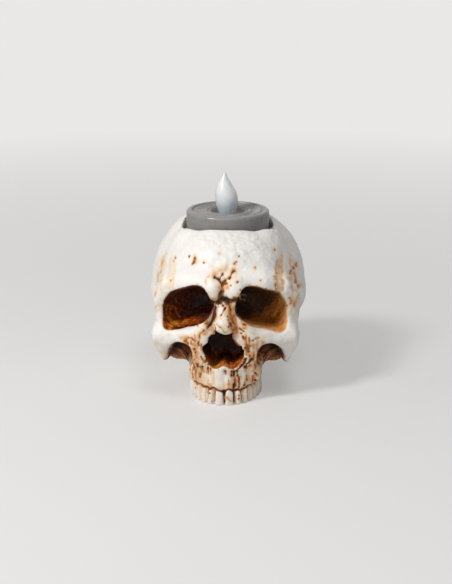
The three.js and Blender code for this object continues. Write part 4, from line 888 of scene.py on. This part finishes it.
# How pale the varnish is, partly painted light: first in the two sockets, paler on the left floor
# and most at the right one's lower and outer rim, then in the nose's two lobes and the slot.
amber = np.where(
    on_left, 0.3 + 0.1 * ochre_end + 0.24 * rust_floor * ramp(side, 8, 15) + 0.4 * stroke
    - 0.3 * fall(buried, 0.5, 2),
    0.72 + 0.22 * stroke + 0.14 * pale_lit_right_rim - 0.3 * fall(side, 8, 13) * (1 - pale_lit_right_rim))
in_lobe = fall(seen, 18.5, 24)
amber = np.where(in_nose > 0, 0.3 + 0.4 * in_lobe * np.where(on_left, 1.1, 0.8)
                 + 0.34 * noise(points, 1.4, 24) * np.where(on_left, 0.6, 1), amber)
amber = np.minimum(amber, np.where(on_left, 0.7, 0.86))
rust = np.where(in_nose > 0, 0.4 + 0.4 * (x > -1.2), np.where(on_left, 0.95 * fall(side, 17, 22), 0.15))
in_slot = dome(from_line(face_spots, SLOT), 1) * in_front
wash -= np.where(on_left, 0, 0.5 * pale_lit_right_rim * in_orbit * (0.7 - 0.6 * stroke))
wet = np.maximum.reduce([in_orbit * np.where(on_left, 1, 1 - 0.6 * pale_lit_right_rim), in_nose, 0.9 * in_slot])
amber = np.where(in_slot > 0.2, 0.24 + 0.2 * stroke, amber)
rust = np.where(in_slot > 0.2, 1, rust)
# Painted shade over the darkest stain: in the sockets, at the top of the nose opening under its bridge, and
# in the hollows under the cheekbones, most just under them.
soot = np.maximum.reduce([
    soot,
    in_orbit * np.clip(np.where(on_left, dark_left, 0.9 * dark_right * (1 - pale_lit_right_rim)), 0, 1),
    0.9 * in_nose * ramp(seen + 1.3 * noise(points, 2.6, 25), 22.5, 27),
    0.9 * under_cheek * ramp(z + 2 * streak + 0.4 * (side - 18), 16.5, 22),
    0.45 * under_cheek * ramp(streak, 0, 0.5),
])
print("sooty corners:", int((soot > 0.5).sum()))

# %% [markdown]
# Last, the skin itself: lumps as a coarse brush leaves in thick paint, strongest on the forehead
# and at the temples, and the braincase's growth seams, which are guessed because the photograph
# doesn't show them. Then every corner moves out or in by its relief.

# %% Skin, seams, and into the mesh
SEAMS = [  # from the seat backwards and down each side: across, along, up
    [(0, 24, 74), (0.6, 36, 66), (0, 43, 58)],
    [(0, 43, 58), (9, 41, 50), (19, 35, 42), (27, 28, 33)],
    [(22, -9, 73), (29, -7, 65), (33.5, -6, 57), (34.5, -7, 49)],
    [(34, -5, 47), (36.5, 5, 52), (36, 17, 50), (32, 25, 40), (29, 27, 33)],
]
FOOT_EVEN = 1.2  # below this the relief fades, so that the skull stands flat
wander = 0.7 * np.stack([noise(points, 2.4, layer) for layer in (14, 15, 16)], axis=1)
seam = np.max([dome(from_line(sided + wander, line), 0.55) for line in SEAMS], axis=0)
seam *= ramp(y, -12, -8)
relief -= 0.22 * seam
wash = np.maximum(wash, 0.5 * seam * ramp(noise(points, 5, 17), -0.7, 0.4))

lumpy = 0.4 + 0.6 * ramp(z, 54, 62) + 0.3 * ramp(side, 22, 28)
lumpy *= 1 - 0.5 * ramp(y, -8, 6)
open_skin = 1 - np.maximum(in_orbit, in_nose)
wrinkles = noise(np.stack([x / 3, y / 3, z], axis=1), 1.6, 33) * in_front * band(z, 58, 61, 65, 69)
lumps = 0.26 * noise(points, 3.2, 18) + 0.26 * noise(points, 1.5, 19) + 0.3 * wrinkles
lumps += 0.12 * noise(points, 0.9, 40)
relief += open_skin * lumpy * lumps * (1 - 0.6 * jaw_front)
off_seat = np.hypot(x, y - SEAT_SETBACK) - SEAT_RADIUS
above_seat_floor = z > SEAT_FLOOR - 1
relief[(off_seat < 0.4) & above_seat_floor] *= 0.3
relief *= 1 - 0.8 * dome(np.maximum(off_seat - 1, 0), 2.5) * (z > SPANS[2] - 10)
relief[z < FOOT_EVEN] *= ramp(z[z < FOOT_EVEN], 0.1, FOOT_EVEN)
wash[(off_seat < 3) & above_seat_floor] = 0
put_points(skin, points + normals * relief[:, None])
print("relief from", relief.min().round(2), "to", relief.max().round(2), "mm")

# %% [markdown]
# The finished mesh carries five numbers at each corner: how much wash it has, how much darkest
# stain with painted shade, how wet with varnish it is, and how pale and how red that varnish is.
# The material reads them by name, so the stain and the painted shade stay on the skull when it is
# moved.

# %% The skull in its place


def stored(mesh, **columns):
    """Keeps columns of numbers on a mesh, one number for each corner, under their names."""
    for name, values in columns.items():
        kept = mesh.attributes.new(name, "FLOAT", "POINT")
        kept.data.foreach_set("value", values.astype(np.float32))


def piece_from(bm, name, body, slot, *nodes):
    """A smooth-shaded piece from a bmesh, which rides on a body and stands for these nodes."""
    bmesh.ops.recalc_face_normals(bm, faces=bm.faces)
    for face in bm.faces:
        face.smooth = True
    mesh = bpy.data.meshes.new(name)
    bm.to_mesh(mesh)
    bm.free()
    piece = bpy.data.objects.new(name, mesh)
    bpy.context.scene.collection.objects.link(piece)
    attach(piece, body)
    if nodes:
        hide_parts(*nodes)
    return piece


skull = piece_from(skin, "skull", "holder", "painted_resin", "skull_casting")
stored(skull.data, wash=wash, soot=soot, wet=wet, amber=amber, rust=rust)
print("skull:", len(skull.data.polygons), "faces")

# %% [markdown]
# A material is a small graph of nodes. One helper adds a node with its options and its inputs. An
# input is a value, a hex colour, another node's output, or a whole node, which stands for its
# first output. Each finish below is then a row of nodes, and each pattern's scale is one over its
# size in millimetres on the real object.

# %% One helper for nodes


def set_inputs(tree, node, inputs):
    """Fills in or links a node's inputs, each by its name, or its number where names repeat."""
    for name, value in inputs.items():
        named = (s for s in node.inputs if s.name == name and s.enabled)
        socket = node.inputs[name] if isinstance(name, int) else next(named)
        if isinstance(value, bpy.types.Node):
            value = next(s for s in value.outputs if s.enabled)
        if isinstance(value, bpy.types.NodeSocket):
            tree.links.new(value, socket)
        else:
            socket.default_value = linear(value) if isinstance(value, str) else value


def add(tree, kind, inputs=None, stops=(), **options):
    """A new node, with its options and inputs. Stops are a colour ramp's places and colours."""
    node = tree.nodes.new("ShaderNode" + kind)
    for name, value in options.items():
        setattr(node, name, value)
    for _ in stops[2:]:
        node.color_ramp.elements.new(0.5)
    for number, (place, hex_colour) in enumerate(stops):
        node.color_ramp.elements[number].position = place
        node.color_ramp.elements[number].color = linear(hex_colour)
    set_inputs(tree, node, inputs or {})
    return node


def shader_of(name):
    """A new material, with its tree, its shader and its object coordinates in millimetres."""
    material = bpy.data.materials.new(name)
    material.use_nodes = True
    tree = material.node_tree
    spot = add(tree, "VectorMath", {"Vector": add(tree, "TexCoord").outputs["Object"], "Scale": 1 / MM},
               operation="SCALE")
    return material, tree, tree.nodes["Principled BSDF"], spot


print("helpers ready: a node with its inputs, and a new material")

# %% [markdown]
# The paint is a warm off-white with a satin skin. The stain over it runs through tan and rust to
# a brown that is nearly black, broken up by fine noise as a wiped wash is, and it shines more
# where it lies thick. The finest lumps from the brush are a bump of about a tenth of a millimetre.

# %% Painted resin


def painted_resin():
    """Off-white paint on cast resin, with a wiped brown wash, and glossy varnish in the hollows."""
    material, tree, shader, spot = shader_of("painted resin")
    wash, soot, wet, amber, rust = (
        add(tree, "Attribute", attribute_name=name).outputs["Fac"]
        for name in ("wash", "soot", "wet", "amber", "rust"))
    patches = add(tree, "TexNoise", {"Vector": spot, "Scale": 1 / 9, "Detail": 4})
    fine = add(tree, "TexNoise", {"Vector": spot, "Scale": 1 / 1.1, "Detail": 4})

    # A few flecks of stain, each in the middle of a cell and only in some patches.
    cells = add(tree, "TexVoronoi", {"Vector": spot, "Scale": 1 / 5.5, "Randomness": 1.0})
    in_middle = add(tree, "MapRange", {"Value": cells, "From Min": 0.1, "From Max": 0.05})
    in_patch = add(tree, "MapRange", {"Value": patches, "From Min": 0.5, "From Max": 0.6})
    fleck = add(tree, "Math", {0: in_middle, 1: in_patch}, operation="MULTIPLY", use_clamp=True)
    fleck = add(tree, "Math", {0: fleck, 1: 0.7}, operation="MULTIPLY", use_clamp=True)

    # The wash, which fine noise breaks up, over two whites of paint.
    wiping = add(tree, "MapRange", {"Value": fine, "From Min": 0.3, "From Max": 0.7,
                                    "To Min": 0.7, "To Max": 1.2})
    stain = add(tree, "Math", {0: wash, 1: wiping}, operation="MULTIPLY", use_clamp=True)
    stain = add(tree, "Math", {0: stain, 1: fleck}, operation="MAXIMUM", use_clamp=True)
    whites = add(tree, "MapRange", {"Value": patches, "From Min": 0.35, "From Max": 0.7})
    paint = add(tree, "Mix", {"Factor": whites, "A": "#F3F0EB", "B": "#ECE6DD"}, data_type="RGBA")
    stained = add(tree, "ValToRGB", {"Fac": stain}, [
        (0.0, "#F1EEE9"), (0.14, "#EFD9BC"), (0.3, "#DDA56E"), (0.5, "#B06427"),
        (0.75, "#6A2F10"), (1.0, "#301305")])
    covers = add(tree, "MapRange", {"Value": stain, "From Min": 0.0, "From Max": 0.08})
    colour = add(tree, "Mix", {"Factor": covers, "A": paint, "B": stained}, data_type="RGBA")

    # The varnish in the hollows, pale or dark, and ochre or russet, with the darkest stain and
    # painted shade over all.
    speckle = add(tree, "MapRange", {"Value": fine, "From Min": 0.3, "From Max": 0.7,
                                     "To Min": -0.1, "To Max": 0.1})
    tone = add(tree, "Math", {0: amber, 1: speckle}, operation="ADD", use_clamp=True)
    ochre = add(tree, "ValToRGB", {"Fac": tone}, [
        (0.0, "#260E05"), (0.25, "#5C270A"), (0.45, "#9A4C12"), (0.65, "#D07C20"),
        (0.85, "#F2AC52"), (1.0, "#F0E4D2")])
    russet = add(tree, "ValToRGB", {"Fac": tone}, [
        (0.0, "#200A04"), (0.25, "#5C1D07"), (0.45, "#9C3F0B"), (0.65, "#C46A22"),
        (0.85, "#DDAA72"), (1.0, "#F0E4D2")])
    varnish = add(tree, "Mix", {"Factor": rust, "A": ochre, "B": russet}, data_type="RGBA")
    colour = add(tree, "Mix", {"Factor": wet, "A": colour, "B": varnish}, data_type="RGBA")
    colour = add(tree, "Mix", {"Factor": soot, "A": colour, "B": "#120602"}, data_type="RGBA")

    # Dry paint is satin, a thick wash shines more, varnish shines most, and the darkest stain with
    # painted shade is dull.
    thick = add(tree, "MapRange", {"Value": stain, "From Min": 0.2, "From Max": 0.8})
    dry = add(tree, "Mix", {"Factor": thick, "A": 0.52, "B": 0.36}, data_type="FLOAT")
    glossy = add(tree, "MapRange", {"Value": fine, "From Min": 0.35, "From Max": 0.65,
                                    "To Min": 0.24, "To Max": 0.4})
    satin = add(tree, "Mix", {"Factor": wet, "A": dry, "B": glossy}, data_type="FLOAT")
    dullness = add(tree, "Mix", {"Factor": soot, "A": satin, "B": 0.7}, data_type="FLOAT")

    # The finest lumps that the brush left.
    coarse = add(tree, "TexNoise", {"Vector": spot, "Scale": 1 / 1.6, "Detail": 2})
    finest = add(tree, "TexNoise", {"Vector": spot, "Scale": 1 / 0.45, "Detail": 3})
    lumps = add(tree, "Mix", {"Factor": 0.35, "A": coarse, "B": finest}, data_type="FLOAT")
    dents = add(tree, "Bump", {"Height": lumps, "Distance": 0.32 * MM})
    set_inputs(tree, shader, {"Base Color": colour, "Roughness": dullness, "Normal": dents,
                              "IOR": 1.5, "Metallic": 0.0})
    return material


skull.data.materials.append(painted_resin())
print("skull painted with", skull.data.materials[0].name)

# %% [markdown]
# The round pieces are turned. An outline is a few corners across and up, each with the radius
# of its rounding, and a full spin makes the piece. Where the radius is nought the corner stays
# sharp. On the real light these are moulded parts with small radii everywhere.

# %% Turning


def filleted(corners, steps=5):
    """An outline, across and up, with each corner rounded by its own radius."""
    outline = []
    for i, (across, up, radius) in enumerate(corners):
        corner = np.array([across, up])
        if radius == 0 or i in (0, len(corners) - 1):
            outline.append(corner)
            continue
        before, after = (np.array(corners[j][:2]) - corner for j in (i - 1, i + 1))
        before, after = (d * min(radius / np.linalg.norm(d), 0.48) for d in (before, after))
        for share in np.linspace(0, 1, steps):
            outline.append(corner + (1 - share) ** 2 * before + share ** 2 * after)
    return outline


def turned(outline, sides, middle):
    """A bmesh turned from an outline in millimetres round an upright line through the middle."""
    bm = bmesh.new()
    spots = [bm.verts.new((across * MM, 0, up * MM)) for across, up in outline]
    edges = [bm.edges.new(pair) for pair in zip(spots, spots[1:])]
    bmesh.ops.spin(bm, geom=spots + edges, cent=(0, 0, 0), axis=(0, 0, 1), angle=2 * math.pi,
                   steps=sides, use_merge=True)
    bmesh.ops.remove_doubles(bm, verts=bm.verts, dist=0.002 * MM)
    bmesh.ops.translate(bm, verts=bm.verts, vec=middle)
    return bm


def middle_of(node):
    """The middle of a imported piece's box, at no height."""
    low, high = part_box(node)
    return Vector(((low.x + high.x) / 2, (low.y + high.y) / 2, 0))


light_middle = middle_of("light_housing")
print("the light stands at", [round(c / MM, 2) for c in light_middle])

# %% [markdown]
# The light's housing is satin grey plastic that imitates wax: a straight wall with a rounded
# shoulder, then rings as of melted wax going in to a shallow pool, with the flame's hole in its
# middle. The wall is hollow from below, where the base plate closes it.

# %% Housing
SHELL_WALL = 1.2
housing_low, housing_high = (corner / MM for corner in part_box("light_housing"))
shell_radius = (housing_high.x - housing_low.x) / 2
shell_top, shell_foot = housing_high.z, housing_low.z
inner = shell_radius - SHELL_WALL

housing_outline = filleted([
    (inner, shell_foot + 1, 0), (inner, shell_foot, 0.2), (shell_radius, shell_foot, 0.3),
    (shell_radius, shell_top - 0.1, 1.7), (shell_radius - 2.3, shell_top, 0.4),
    (shell_radius - 2.6, shell_top - 0.9, 0.3), (shell_radius - 3.3, shell_top - 0.9, 0.3),
    (shell_radius - 4, shell_top - 0.05, 0.6), (13.2, shell_top - 1.3, 0.8),
    (11.3, shell_top - 1.35, 0.5),
    (10.3, shell_top - 0.2, 0.6), (9.2, shell_top - 1.35, 0.4), (8.3, shell_top - 0.4, 0.5),
    (7.1, shell_top - 2.8, 0.5), (6.2, shell_top - 3, 0.3), (4.3, shell_top - 3, 0.3),
    (4.3, shell_top - 4.2, 0.1), (9.5, shell_top - 4.2, 0.2), (9.5, shell_top - 2.4, 0.2),
    (inner, shell_top - 2.4, 0.3), (inner, shell_foot + 1, 0)])
housing = piece_from(turned(housing_outline, 128, light_middle), "housing_shell", "tea_light", "grey_plastic",
                     "light_housing")


def satin_plastic(name, hex_colour, roughness):
    """Moulded plastic: an even colour, a faint orange-peel skin and a little wear."""
    material, tree, shader, spot = shader_of(name)
    darker = "#" + "".join(f"{max(int(hex_colour[i:i + 2], 16) - 8, 0):02X}" for i in (1, 3, 5))
    clouds = add(tree, "TexNoise", {"Vector": spot, "Scale": 1 / 6, "Detail": 3})
    tone = add(tree, "MapRange", {"Value": clouds, "From Min": 0.3, "From Max": 0.7})
    colour = add(tree, "Mix", {"Factor": tone, "A": hex_colour, "B": darker}, data_type="RGBA")
    wear = add(tree, "TexNoise", {"Vector": spot, "Scale": 1 / 2.5, "Detail": 3})
    dullness = add(tree, "MapRange", {"Value": wear, "From Min": 0.3, "From Max": 0.7,
                                      "To Min": roughness - 0.05, "To Max": roughness + 0.05})
    peel = add(tree, "TexNoise", {"Vector": spot, "Scale": 1 / 1.2, "Detail": 1})
    dents = add(tree, "Bump", {"Height": peel, "Distance": 0.006 * MM})
    set_inputs(tree, shader, {"Base Color": colour, "Roughness": dullness, "Normal": dents, "IOR": 1.49})
    return material


grey_plastic = satin_plastic("satin grey plastic", "#8D8A88", 0.3)
housing.data.materials.append(grey_plastic)
print("housing:", len(housing.data.polygons), "faces")

# %% [markdown]
# The flame is a hollow drop of milky plastic. It is turned round like the other pieces, and then
# its upper part leans to one side and the tip comes back a little, as a mould maker draws a
# candle flame. Its wall scatters light, so it looks like frosted glass.

# %% Flame
FLAME_LINE = [(76.9, 3.9, 0), (77.4, 4.05, 0), (79.4, 4.56, 0.3), (81, 4.9, 0.43), (82.7, 5.16, 0.55),
              (85.1, 5.08, 0.6), (86.7, 4.8, 0.8), (89.2, 3.8, 1.3), (90.8, 3.04, 1.5), (93.3, 1.63, 1.65),
              (95, 0.82, 1.5), (96.1, 0.3, 1.35)]  # height, radius, how far it leans to the left
FLAME_BORE = 2.8
FLANGE_RADIUS = 5.6
flame_low, flame_high = (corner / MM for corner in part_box("flame"))


def flame_mesh():
    heights, radii, leans = np.array(FLAME_LINE).T
    rows = np.linspace(heights[0], heights[-1], 40)
    skin_radii = np.interp(rows, heights, radii)
    for _ in range(2):
        skin_radii[1:-1] = (skin_radii[:-2] + 2 * skin_radii[1:-1] + skin_radii[2:]) / 4
    foot = flame_low.z
    outline = filleted([
        (FLAME_BORE, foot + 2, 0), (FLAME_BORE, foot, 0.2), (FLANGE_RADIUS, foot, 0.2),
        (FLANGE_RADIUS, foot + 1, 0.2), (skin_radii[0], foot + 1, 0.2), (skin_radii[0], rows[0], 0)])
    outline += list(zip(skin_radii[1:], rows[1:])) + [(0, flame_high.z)]
    outline += [(0, foot + 9.3), (1.2, foot + 8.9), (2.3, foot + 7.8)]
    outline += [(FLAME_BORE, foot + 6.4), (FLAME_BORE, foot + 2)]
    bm = turned(outline, 64, light_middle)
    lean_rows = np.linspace(heights[0], flame_high.z, 60)
    lean_curve = np.interp(lean_rows, heights, leans)
    for _ in range(40):
        lean_curve[1:-1] = (lean_curve[:-2] + 2 * lean_curve[1:-1] + lean_curve[2:]) / 4
    for vertex in bm.verts:
        vertex.co.x -= float(np.interp(vertex.co.z / MM, lean_rows, lean_curve)) * MM
    return bm


def milky_plastic():
    """Frosted translucent plastic: light passes through its wall but is scattered in it."""
    material, tree, shader, spot = shader_of("milky plastic")
    up = add(tree, "SeparateXYZ", {"Vector": spot}).outputs["Z"]
    lower = add(tree, "MapRange", {"Value": up, "From Min": 88, "From Max": 78})
    clouds = add(tree, "TexNoise", {"Vector": spot, "Scale": 1 / 5, "Detail": 1})
    uneven = add(tree, "MapRange", {"Value": clouds, "From Min": 0.2, "From Max": 0.6,
                                    "To Min": 0.6, "To Max": 1})
    # Darker and bluer towards the flame's foot, in uneven patches.
    bluer_low = add(tree, "Math", {0: lower, 1: uneven}, operation="MULTIPLY", use_clamp=True)
    colour = add(tree, "Mix", {"Factor": bluer_low, "A": "#FAFCFE", "B": "#DFEAF5"}, data_type="RGBA")
    frost = add(tree, "TexNoise", {"Vector": spot, "Scale": 1 / 0.6, "Detail": 1})
    dents = add(tree, "Bump", {"Height": frost, "Distance": 0.006 * MM})
    set_inputs(tree, shader, {
        "Base Color": colour, "Normal": dents, "IOR": 1.49, "Roughness": 0.28, "Transmission Weight": 0.2,
        "Subsurface Weight": 0.8, "Subsurface Radius": (1, 1, 1), "Subsurface Scale": 0.003})
    return material


flame = piece_from(flame_mesh(), "flame_drop", "tea_light", "milky_plastic", "flame")
flame.data.materials.append(milky_plastic())
print("flame:", len(flame.data.polygons), "faces")

# %% [markdown]
# Inside the flame stands a plain 5 mm lamp of clear epoxy, with its rim and domed top, and two
# tinned leads that run down into the body.

# %% Lamp
lamp_low, lamp_high = (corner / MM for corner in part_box("lamp"))
lamp_outline = filleted([
    (0, lamp_low.z, 0), (2.9, lamp_low.z, 0.15), (2.9, lamp_low.z + 1, 0.2), (2.5, lamp_low.z + 1, 0.1),
    (2.5, lamp_high.z - 0.2, 0), (2.5, lamp_high.z, 2.4), (0, lamp_high.z, 0)], 9)


def clear_epoxy():
    """Clear cast epoxy with the faint cloud that a white lamp has."""
    material, tree, shader, spot = shader_of("clear epoxy")
    clouds = add(tree, "TexNoise", {"Vector": spot, "Scale": 1 / 2, "Detail": 3})
    colour = add(tree, "Mix", {"Factor": clouds, "A": "#F6F7F2", "B": "#EFEFD8"}, data_type="RGBA")
    smears = add(tree, "TexNoise", {"Vector": spot, "Scale": 1, "Detail": 3})
    dullness = add(tree, "MapRange", {"Value": smears, "From Min": 0.3, "From Max": 0.7,
                                      "To Min": 0.05, "To Max": 0.12})
    set_inputs(tree, shader, {"Base Color": colour, "Roughness": dullness, "IOR": 1.54,
                              "Transmission Weight": 0.9})
    return material


epoxy = clear_epoxy()
lamp_drop = turned(lamp_outline, 48, middle_of("lamp"))
lamp = piece_from(lamp_drop, "lamp_lens", "tea_light", "clear_epoxy", "lamp")
lamp.data.materials.append(epoxy)
print("lamp:", len(lamp.data.polygons), "faces")

# %% [markdown]
# Underneath, the base plate, the battery door, the switch and the screws are moulded or turned
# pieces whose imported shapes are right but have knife-sharp edges. Their copies get their edges
# eased by a tenth of a millimetre, which is what catches the light on real plastic.

# %% Eased pieces of the base


def eased(node, name, body, slot, material, width=0.12):
    """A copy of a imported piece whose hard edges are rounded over."""
    bm = bmesh.new()
    bm.from_mesh(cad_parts[node].data)
    bmesh.ops.remove_doubles(bm, verts=bm.verts, dist=0.001 * MM)
    bmesh.ops.dissolve_limit(bm, angle_limit=math.radians(1), verts=bm.verts, edges=bm.edges)
    hard = [e for e in bm.edges if e.is_manifold and e.calc_face_angle(0) > math.radians(35)]
    bmesh.ops.bevel(bm, geom=hard, offset=width * MM, segments=2, profile=0.5, affect="EDGES",
                    clamp_overlap=True, material=-1)
    bmesh.ops.remove_doubles(bm, verts=bm.verts, dist=0.001 * MM)
    piece = piece_from(bm, name, body, slot, node)
    piece.data.set_sharp_from_angle(angle=math.radians(50))
    piece.data.materials.append(material)
    return piece


def metal(name, hex_colour, roughness):
    """Bare metal strip: its own colour, fine rolling marks and a few dull places. Real rolling
    marks are finer than 0.1 mm. They are drawn about 0.25 mm wide and 5 mm long, to show."""
    material, tree, shader, spot = shader_of(name)
    drawn = add(tree, "VectorMath", {0: spot, 1: (0.3, 6, 6)}, operation="MULTIPLY")
    marks = add(tree, "TexNoise", {"Vector": drawn, "Scale": 1 / 1.5, "Detail": 2})
    clouds = add(tree, "TexNoise", {"Vector": spot, "Scale": 1 / 3, "Detail": 3})
    dulled = add(tree, "MapRange", {"Value": clouds, "From Min": 0.4, "From Max": 0.75})
    dull = add(tree, "Mix", {"Factor": dulled, "A": hex_colour, "B": "#6E665A"}, data_type="RGBA")
    colour = add(tree, "Mix", {"Factor": 0.3, "A": hex_colour, "B": dull}, data_type="RGBA")
    dullness = add(tree, "MapRange", {"Value": marks, "From Min": 0.3, "From Max": 0.7,
                                      "To Min": roughness - 0.07, "To Max": roughness + 0.1})
    dents = add(tree, "Bump", {"Height": marks, "Distance": 0.004 * MM})
    set_inputs(tree, shader, {"Base Color": colour, "Roughness": dullness, "Normal": dents, "Metallic": 1.0})
    return material


black_plastic = satin_plastic("black plastic", "#1B1B1C", 0.38)
tinned_steel = metal("tinned steel", "#B9BCBE", 0.28)
base = eased("base_plate", "base", "tea_light", "grey_plastic", grey_plastic)
door = eased("battery_door", "door", "battery_door", "grey_plastic", grey_plastic)
knob = eased("switch_slider", "switch_knob", "switch", "black_plastic", black_plastic)
screws = [eased(f"base_screw_{side}", f"screw_{side}", "tea_light", "tinned_steel", tinned_steel, 0.06)
          for side in ("left", "right")]
print("eased:", [len(piece.data.polygons) for piece in (base, door, knob, *screws)])

# %% [markdown]
# Two discs of black self-adhesive felt keep the back of the head level and off the table. Felt
# has no sharp edge and no even face, so each disc is turned with a soft rim and then roughened.

# %% Felt pads


def black_felt():
    """Pressed wool felt: nearly black, matte, with a tangle of fibres that catch a little light.
    A fibre is about 0.02 mm thick, too fine to show, so tufts of 0.25 mm are drawn instead."""
    material, tree, shader, spot = shader_of("black felt")
    fibres = add(tree, "TexNoise", {"Vector": spot, "Scale": 1 / 0.25, "Detail": 5})
    tuft = add(tree, "MapRange", {"Value": fibres, "From Min": 0.35, "From Max": 0.75})
    colour = add(tree, "Mix", {"Factor": tuft, "A": "#0E0E0F", "B": "#2B2A2A"}, data_type="RGBA")
    dents = add(tree, "Bump", {"Height": fibres, "Distance": 0.12 * MM})
    set_inputs(tree, shader, {"Base Color": colour, "Normal": dents, "Roughness": 0.95,
                              "Sheen Weight": 0.5, "Sheen Roughness": 0.5, "IOR": 1.45})
    return material


felt = black_felt()
for hand in ("left", "right"):
    node = "felt_pad_" + hand
    low, high = (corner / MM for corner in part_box(node))
    radius = (high.x - low.x) / 2
    rings = [(radius * share, high.z) for share in (0, 0.25, 0.5, 0.7, 0.85, 0.95)]
    edge = [(radius, high.z - 0.25), (radius, low.z + 0.25)]
    outline = rings + edge + [(across, low.z) for across, _ in reversed(rings)]
    bm = turned(outline, 48, middle_of(node))
    places = points_of(bm)
    fuzz = 0.05 * noise(places, 0.9, 20)
    inwards = np.where(places[:, 2] > (low.z + high.z) / 2, -1, 1) * (np.abs(fuzz) + 0.01)
    places[:, 2] += inwards
    put_points(bm, places)
    pad = piece_from(bm, "felt_" + hand, "holder", "black_felt", node)
    pad.data.materials.append(felt)
print("felt pads of", round(radius * 2, 1), "mm")

# %% [markdown]
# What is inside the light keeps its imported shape: the moulded core, the coin cell and the bent
# contacts. They show only when the light is taken apart, but each has its own finish.

# %% Finishes of the inner pieces
spring_brass = metal("spring brass", "#B08D4C", 0.3)
FINISHES = {
    "battery_core": black_plastic, "coin_cell": tinned_steel, "contact_negative": tinned_steel,
    "contact_positive": tinned_steel, "contact_switch": tinned_steel, "switch_wiper": spring_brass,
    "lamp_lead_negative": tinned_steel, "lamp_lead_positive": tinned_steel,
}
for node, material in FINISHES.items():
    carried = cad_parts[node]
    carried.data.materials.clear()
    carried.data.materials.append(material)
print("finished:", ", ".join(FINISHES))

# %% [markdown]
# The stage is a pale floor that runs out to the same pale tone behind, lit as in a small studio:
# one soft light from the upper left, a weaker one from above, and a low even sky. The sky's colour
# for the camera and for mirror-like rays is the backdrop's, so nothing dark shows behind, while
# the light on the object comes from the lamps and the low sky. Away from the object the floor
# passes into the backdrop's tone for the camera, and near it the floor keeps its shadow.

# %% Floor and sky
FLOOR_RADIUS = 6
BACKDROP = "#E9E8E6"
FLOOR_FADES = (60, 700)  # from here to there the floor passes into the backdrop's tone
FLOOR_PALER = 0.35  # how much of that tone it has near the object
SKY_FILL = 0.25

bm = bmesh.new()
bmesh.ops.create_circle(bm, cap_ends=True, segments=96, radius=FLOOR_RADIUS)
floor_mesh = bpy.data.meshes.new("floor")
bm.to_mesh(floor_mesh)
bm.free()
floor = bpy.data.objects.new("floor", floor_mesh)
bpy.context.scene.collection.objects.link(floor)

material, tree, shader, spot = shader_of("pale floor")
patches = add(tree, "TexNoise", {"Vector": spot, "Scale": 1 / 60, "Detail": 3})
pale = add(tree, "Mix", {"Factor": patches, "A": "#E6E5E3", "B": "#E2E1DF"}, data_type="RGBA")
set_inputs(tree, shader, {"Base Color": pale, "Roughness": 0.7, "IOR": 1.45})
away = add(tree, "VectorMath", {0: spot}, operation="LENGTH")
camera_sees = add(tree, "LightPath").outputs["Is Camera Ray"]
share = add(tree, "MapRange", {"Value": away, "From Min": FLOOR_FADES[0], "From Max": FLOOR_FADES[1],
                               "To Min": FLOOR_PALER})
paler = add(tree, "Math", {0: camera_sees, 1: share}, operation="MULTIPLY", use_clamp=True)
even = add(tree, "Emission", {"Color": BACKDROP, "Strength": 1.0})
both = add(tree, "MixShader", {"Fac": paler, 1: shader, 2: even})
set_inputs(tree, tree.nodes["Material Output"], {"Surface": both})
floor.data.materials.append(material)

world = bpy.data.worlds.new("studio")
world.use_nodes = True
sky = world.node_tree
sky.nodes.clear()
path = add(sky, "LightPath").outputs
mirrored = add(sky, "Math", {0: path["Is Glossy Ray"], 1: path["Is Transmission Ray"]},
               operation="MAXIMUM", use_clamp=True)
seen = add(sky, "Math", {0: path["Is Camera Ray"], 1: mirrored}, operation="MAXIMUM", use_clamp=True)
low_sky = add(sky, "Background", {"Color": "#DADCE0", "Strength": SKY_FILL})
backdrop = add(sky, "Background", {"Color": BACKDROP, "Strength": 1.0})
add(sky, "OutputWorld", {"Surface": add(sky, "MixShader", {"Fac": seen, 1: low_sky, 2: backdrop})})
bpy.context.scene.world = world
bpy.context.scene.view_settings.view_transform = "Standard"
print("floor of", FLOOR_RADIUS, "m")

# %% [markdown]
# The camera stands where the photographer's did: a little to the right of straight ahead and
# sixteen degrees above level, 650 mm from the skull.

# %% Lights and camera
PHOTO_HEIGHT = 584
LOOK_AT = Vector((0, 0, 0.04))
AZIMUTH, ELEVATION = math.radians(2), math.radians(16)
CAMERA_DISTANCE = 0.65
FOCAL_PIXELS = 1398
SHIFT_PIXELS = -1.6
LIGHTS = {  # place, size, strength in watts
    "key": ((-0.44, -0.38, 0.55), 0.14, 3.8),
    "fill": ((0.14, -0.25, 0.75), 0.3, 1.4),
}
for name, (place, size, power) in LIGHTS.items():
    data = bpy.data.lights.new(name, "AREA")
    data.size = size
    data.energy = power
    light = bpy.data.objects.new(name, data)
    light.location = place
    light.rotation_euler = (Vector(place) - LOOK_AT).to_track_quat("Z", "Y").to_euler()
    bpy.context.scene.collection.objects.link(light)

back = Vector((math.sin(AZIMUTH) * math.cos(ELEVATION), -math.cos(AZIMUTH) * math.cos(ELEVATION),
               math.sin(ELEVATION)))
lens = bpy.data.cameras.new("camera")
lens.sensor_width = 36
lens.lens = FOCAL_PIXELS / PHOTO_HEIGHT * lens.sensor_width
lens.shift_x = SHIFT_PIXELS / PHOTO_HEIGHT
camera = bpy.data.objects.new("camera", lens)
camera.location = LOOK_AT + CAMERA_DISTANCE * back
camera.rotation_euler = (-back).to_track_quat("-Z", "Y").to_euler()
bpy.context.scene.collection.objects.link(camera)
bpy.context.scene.camera = camera
print("lens of", round(lens.lens), "mm")

# %% [markdown]
# Last, the script says that it has run to its end.

# %% Done
print("done")
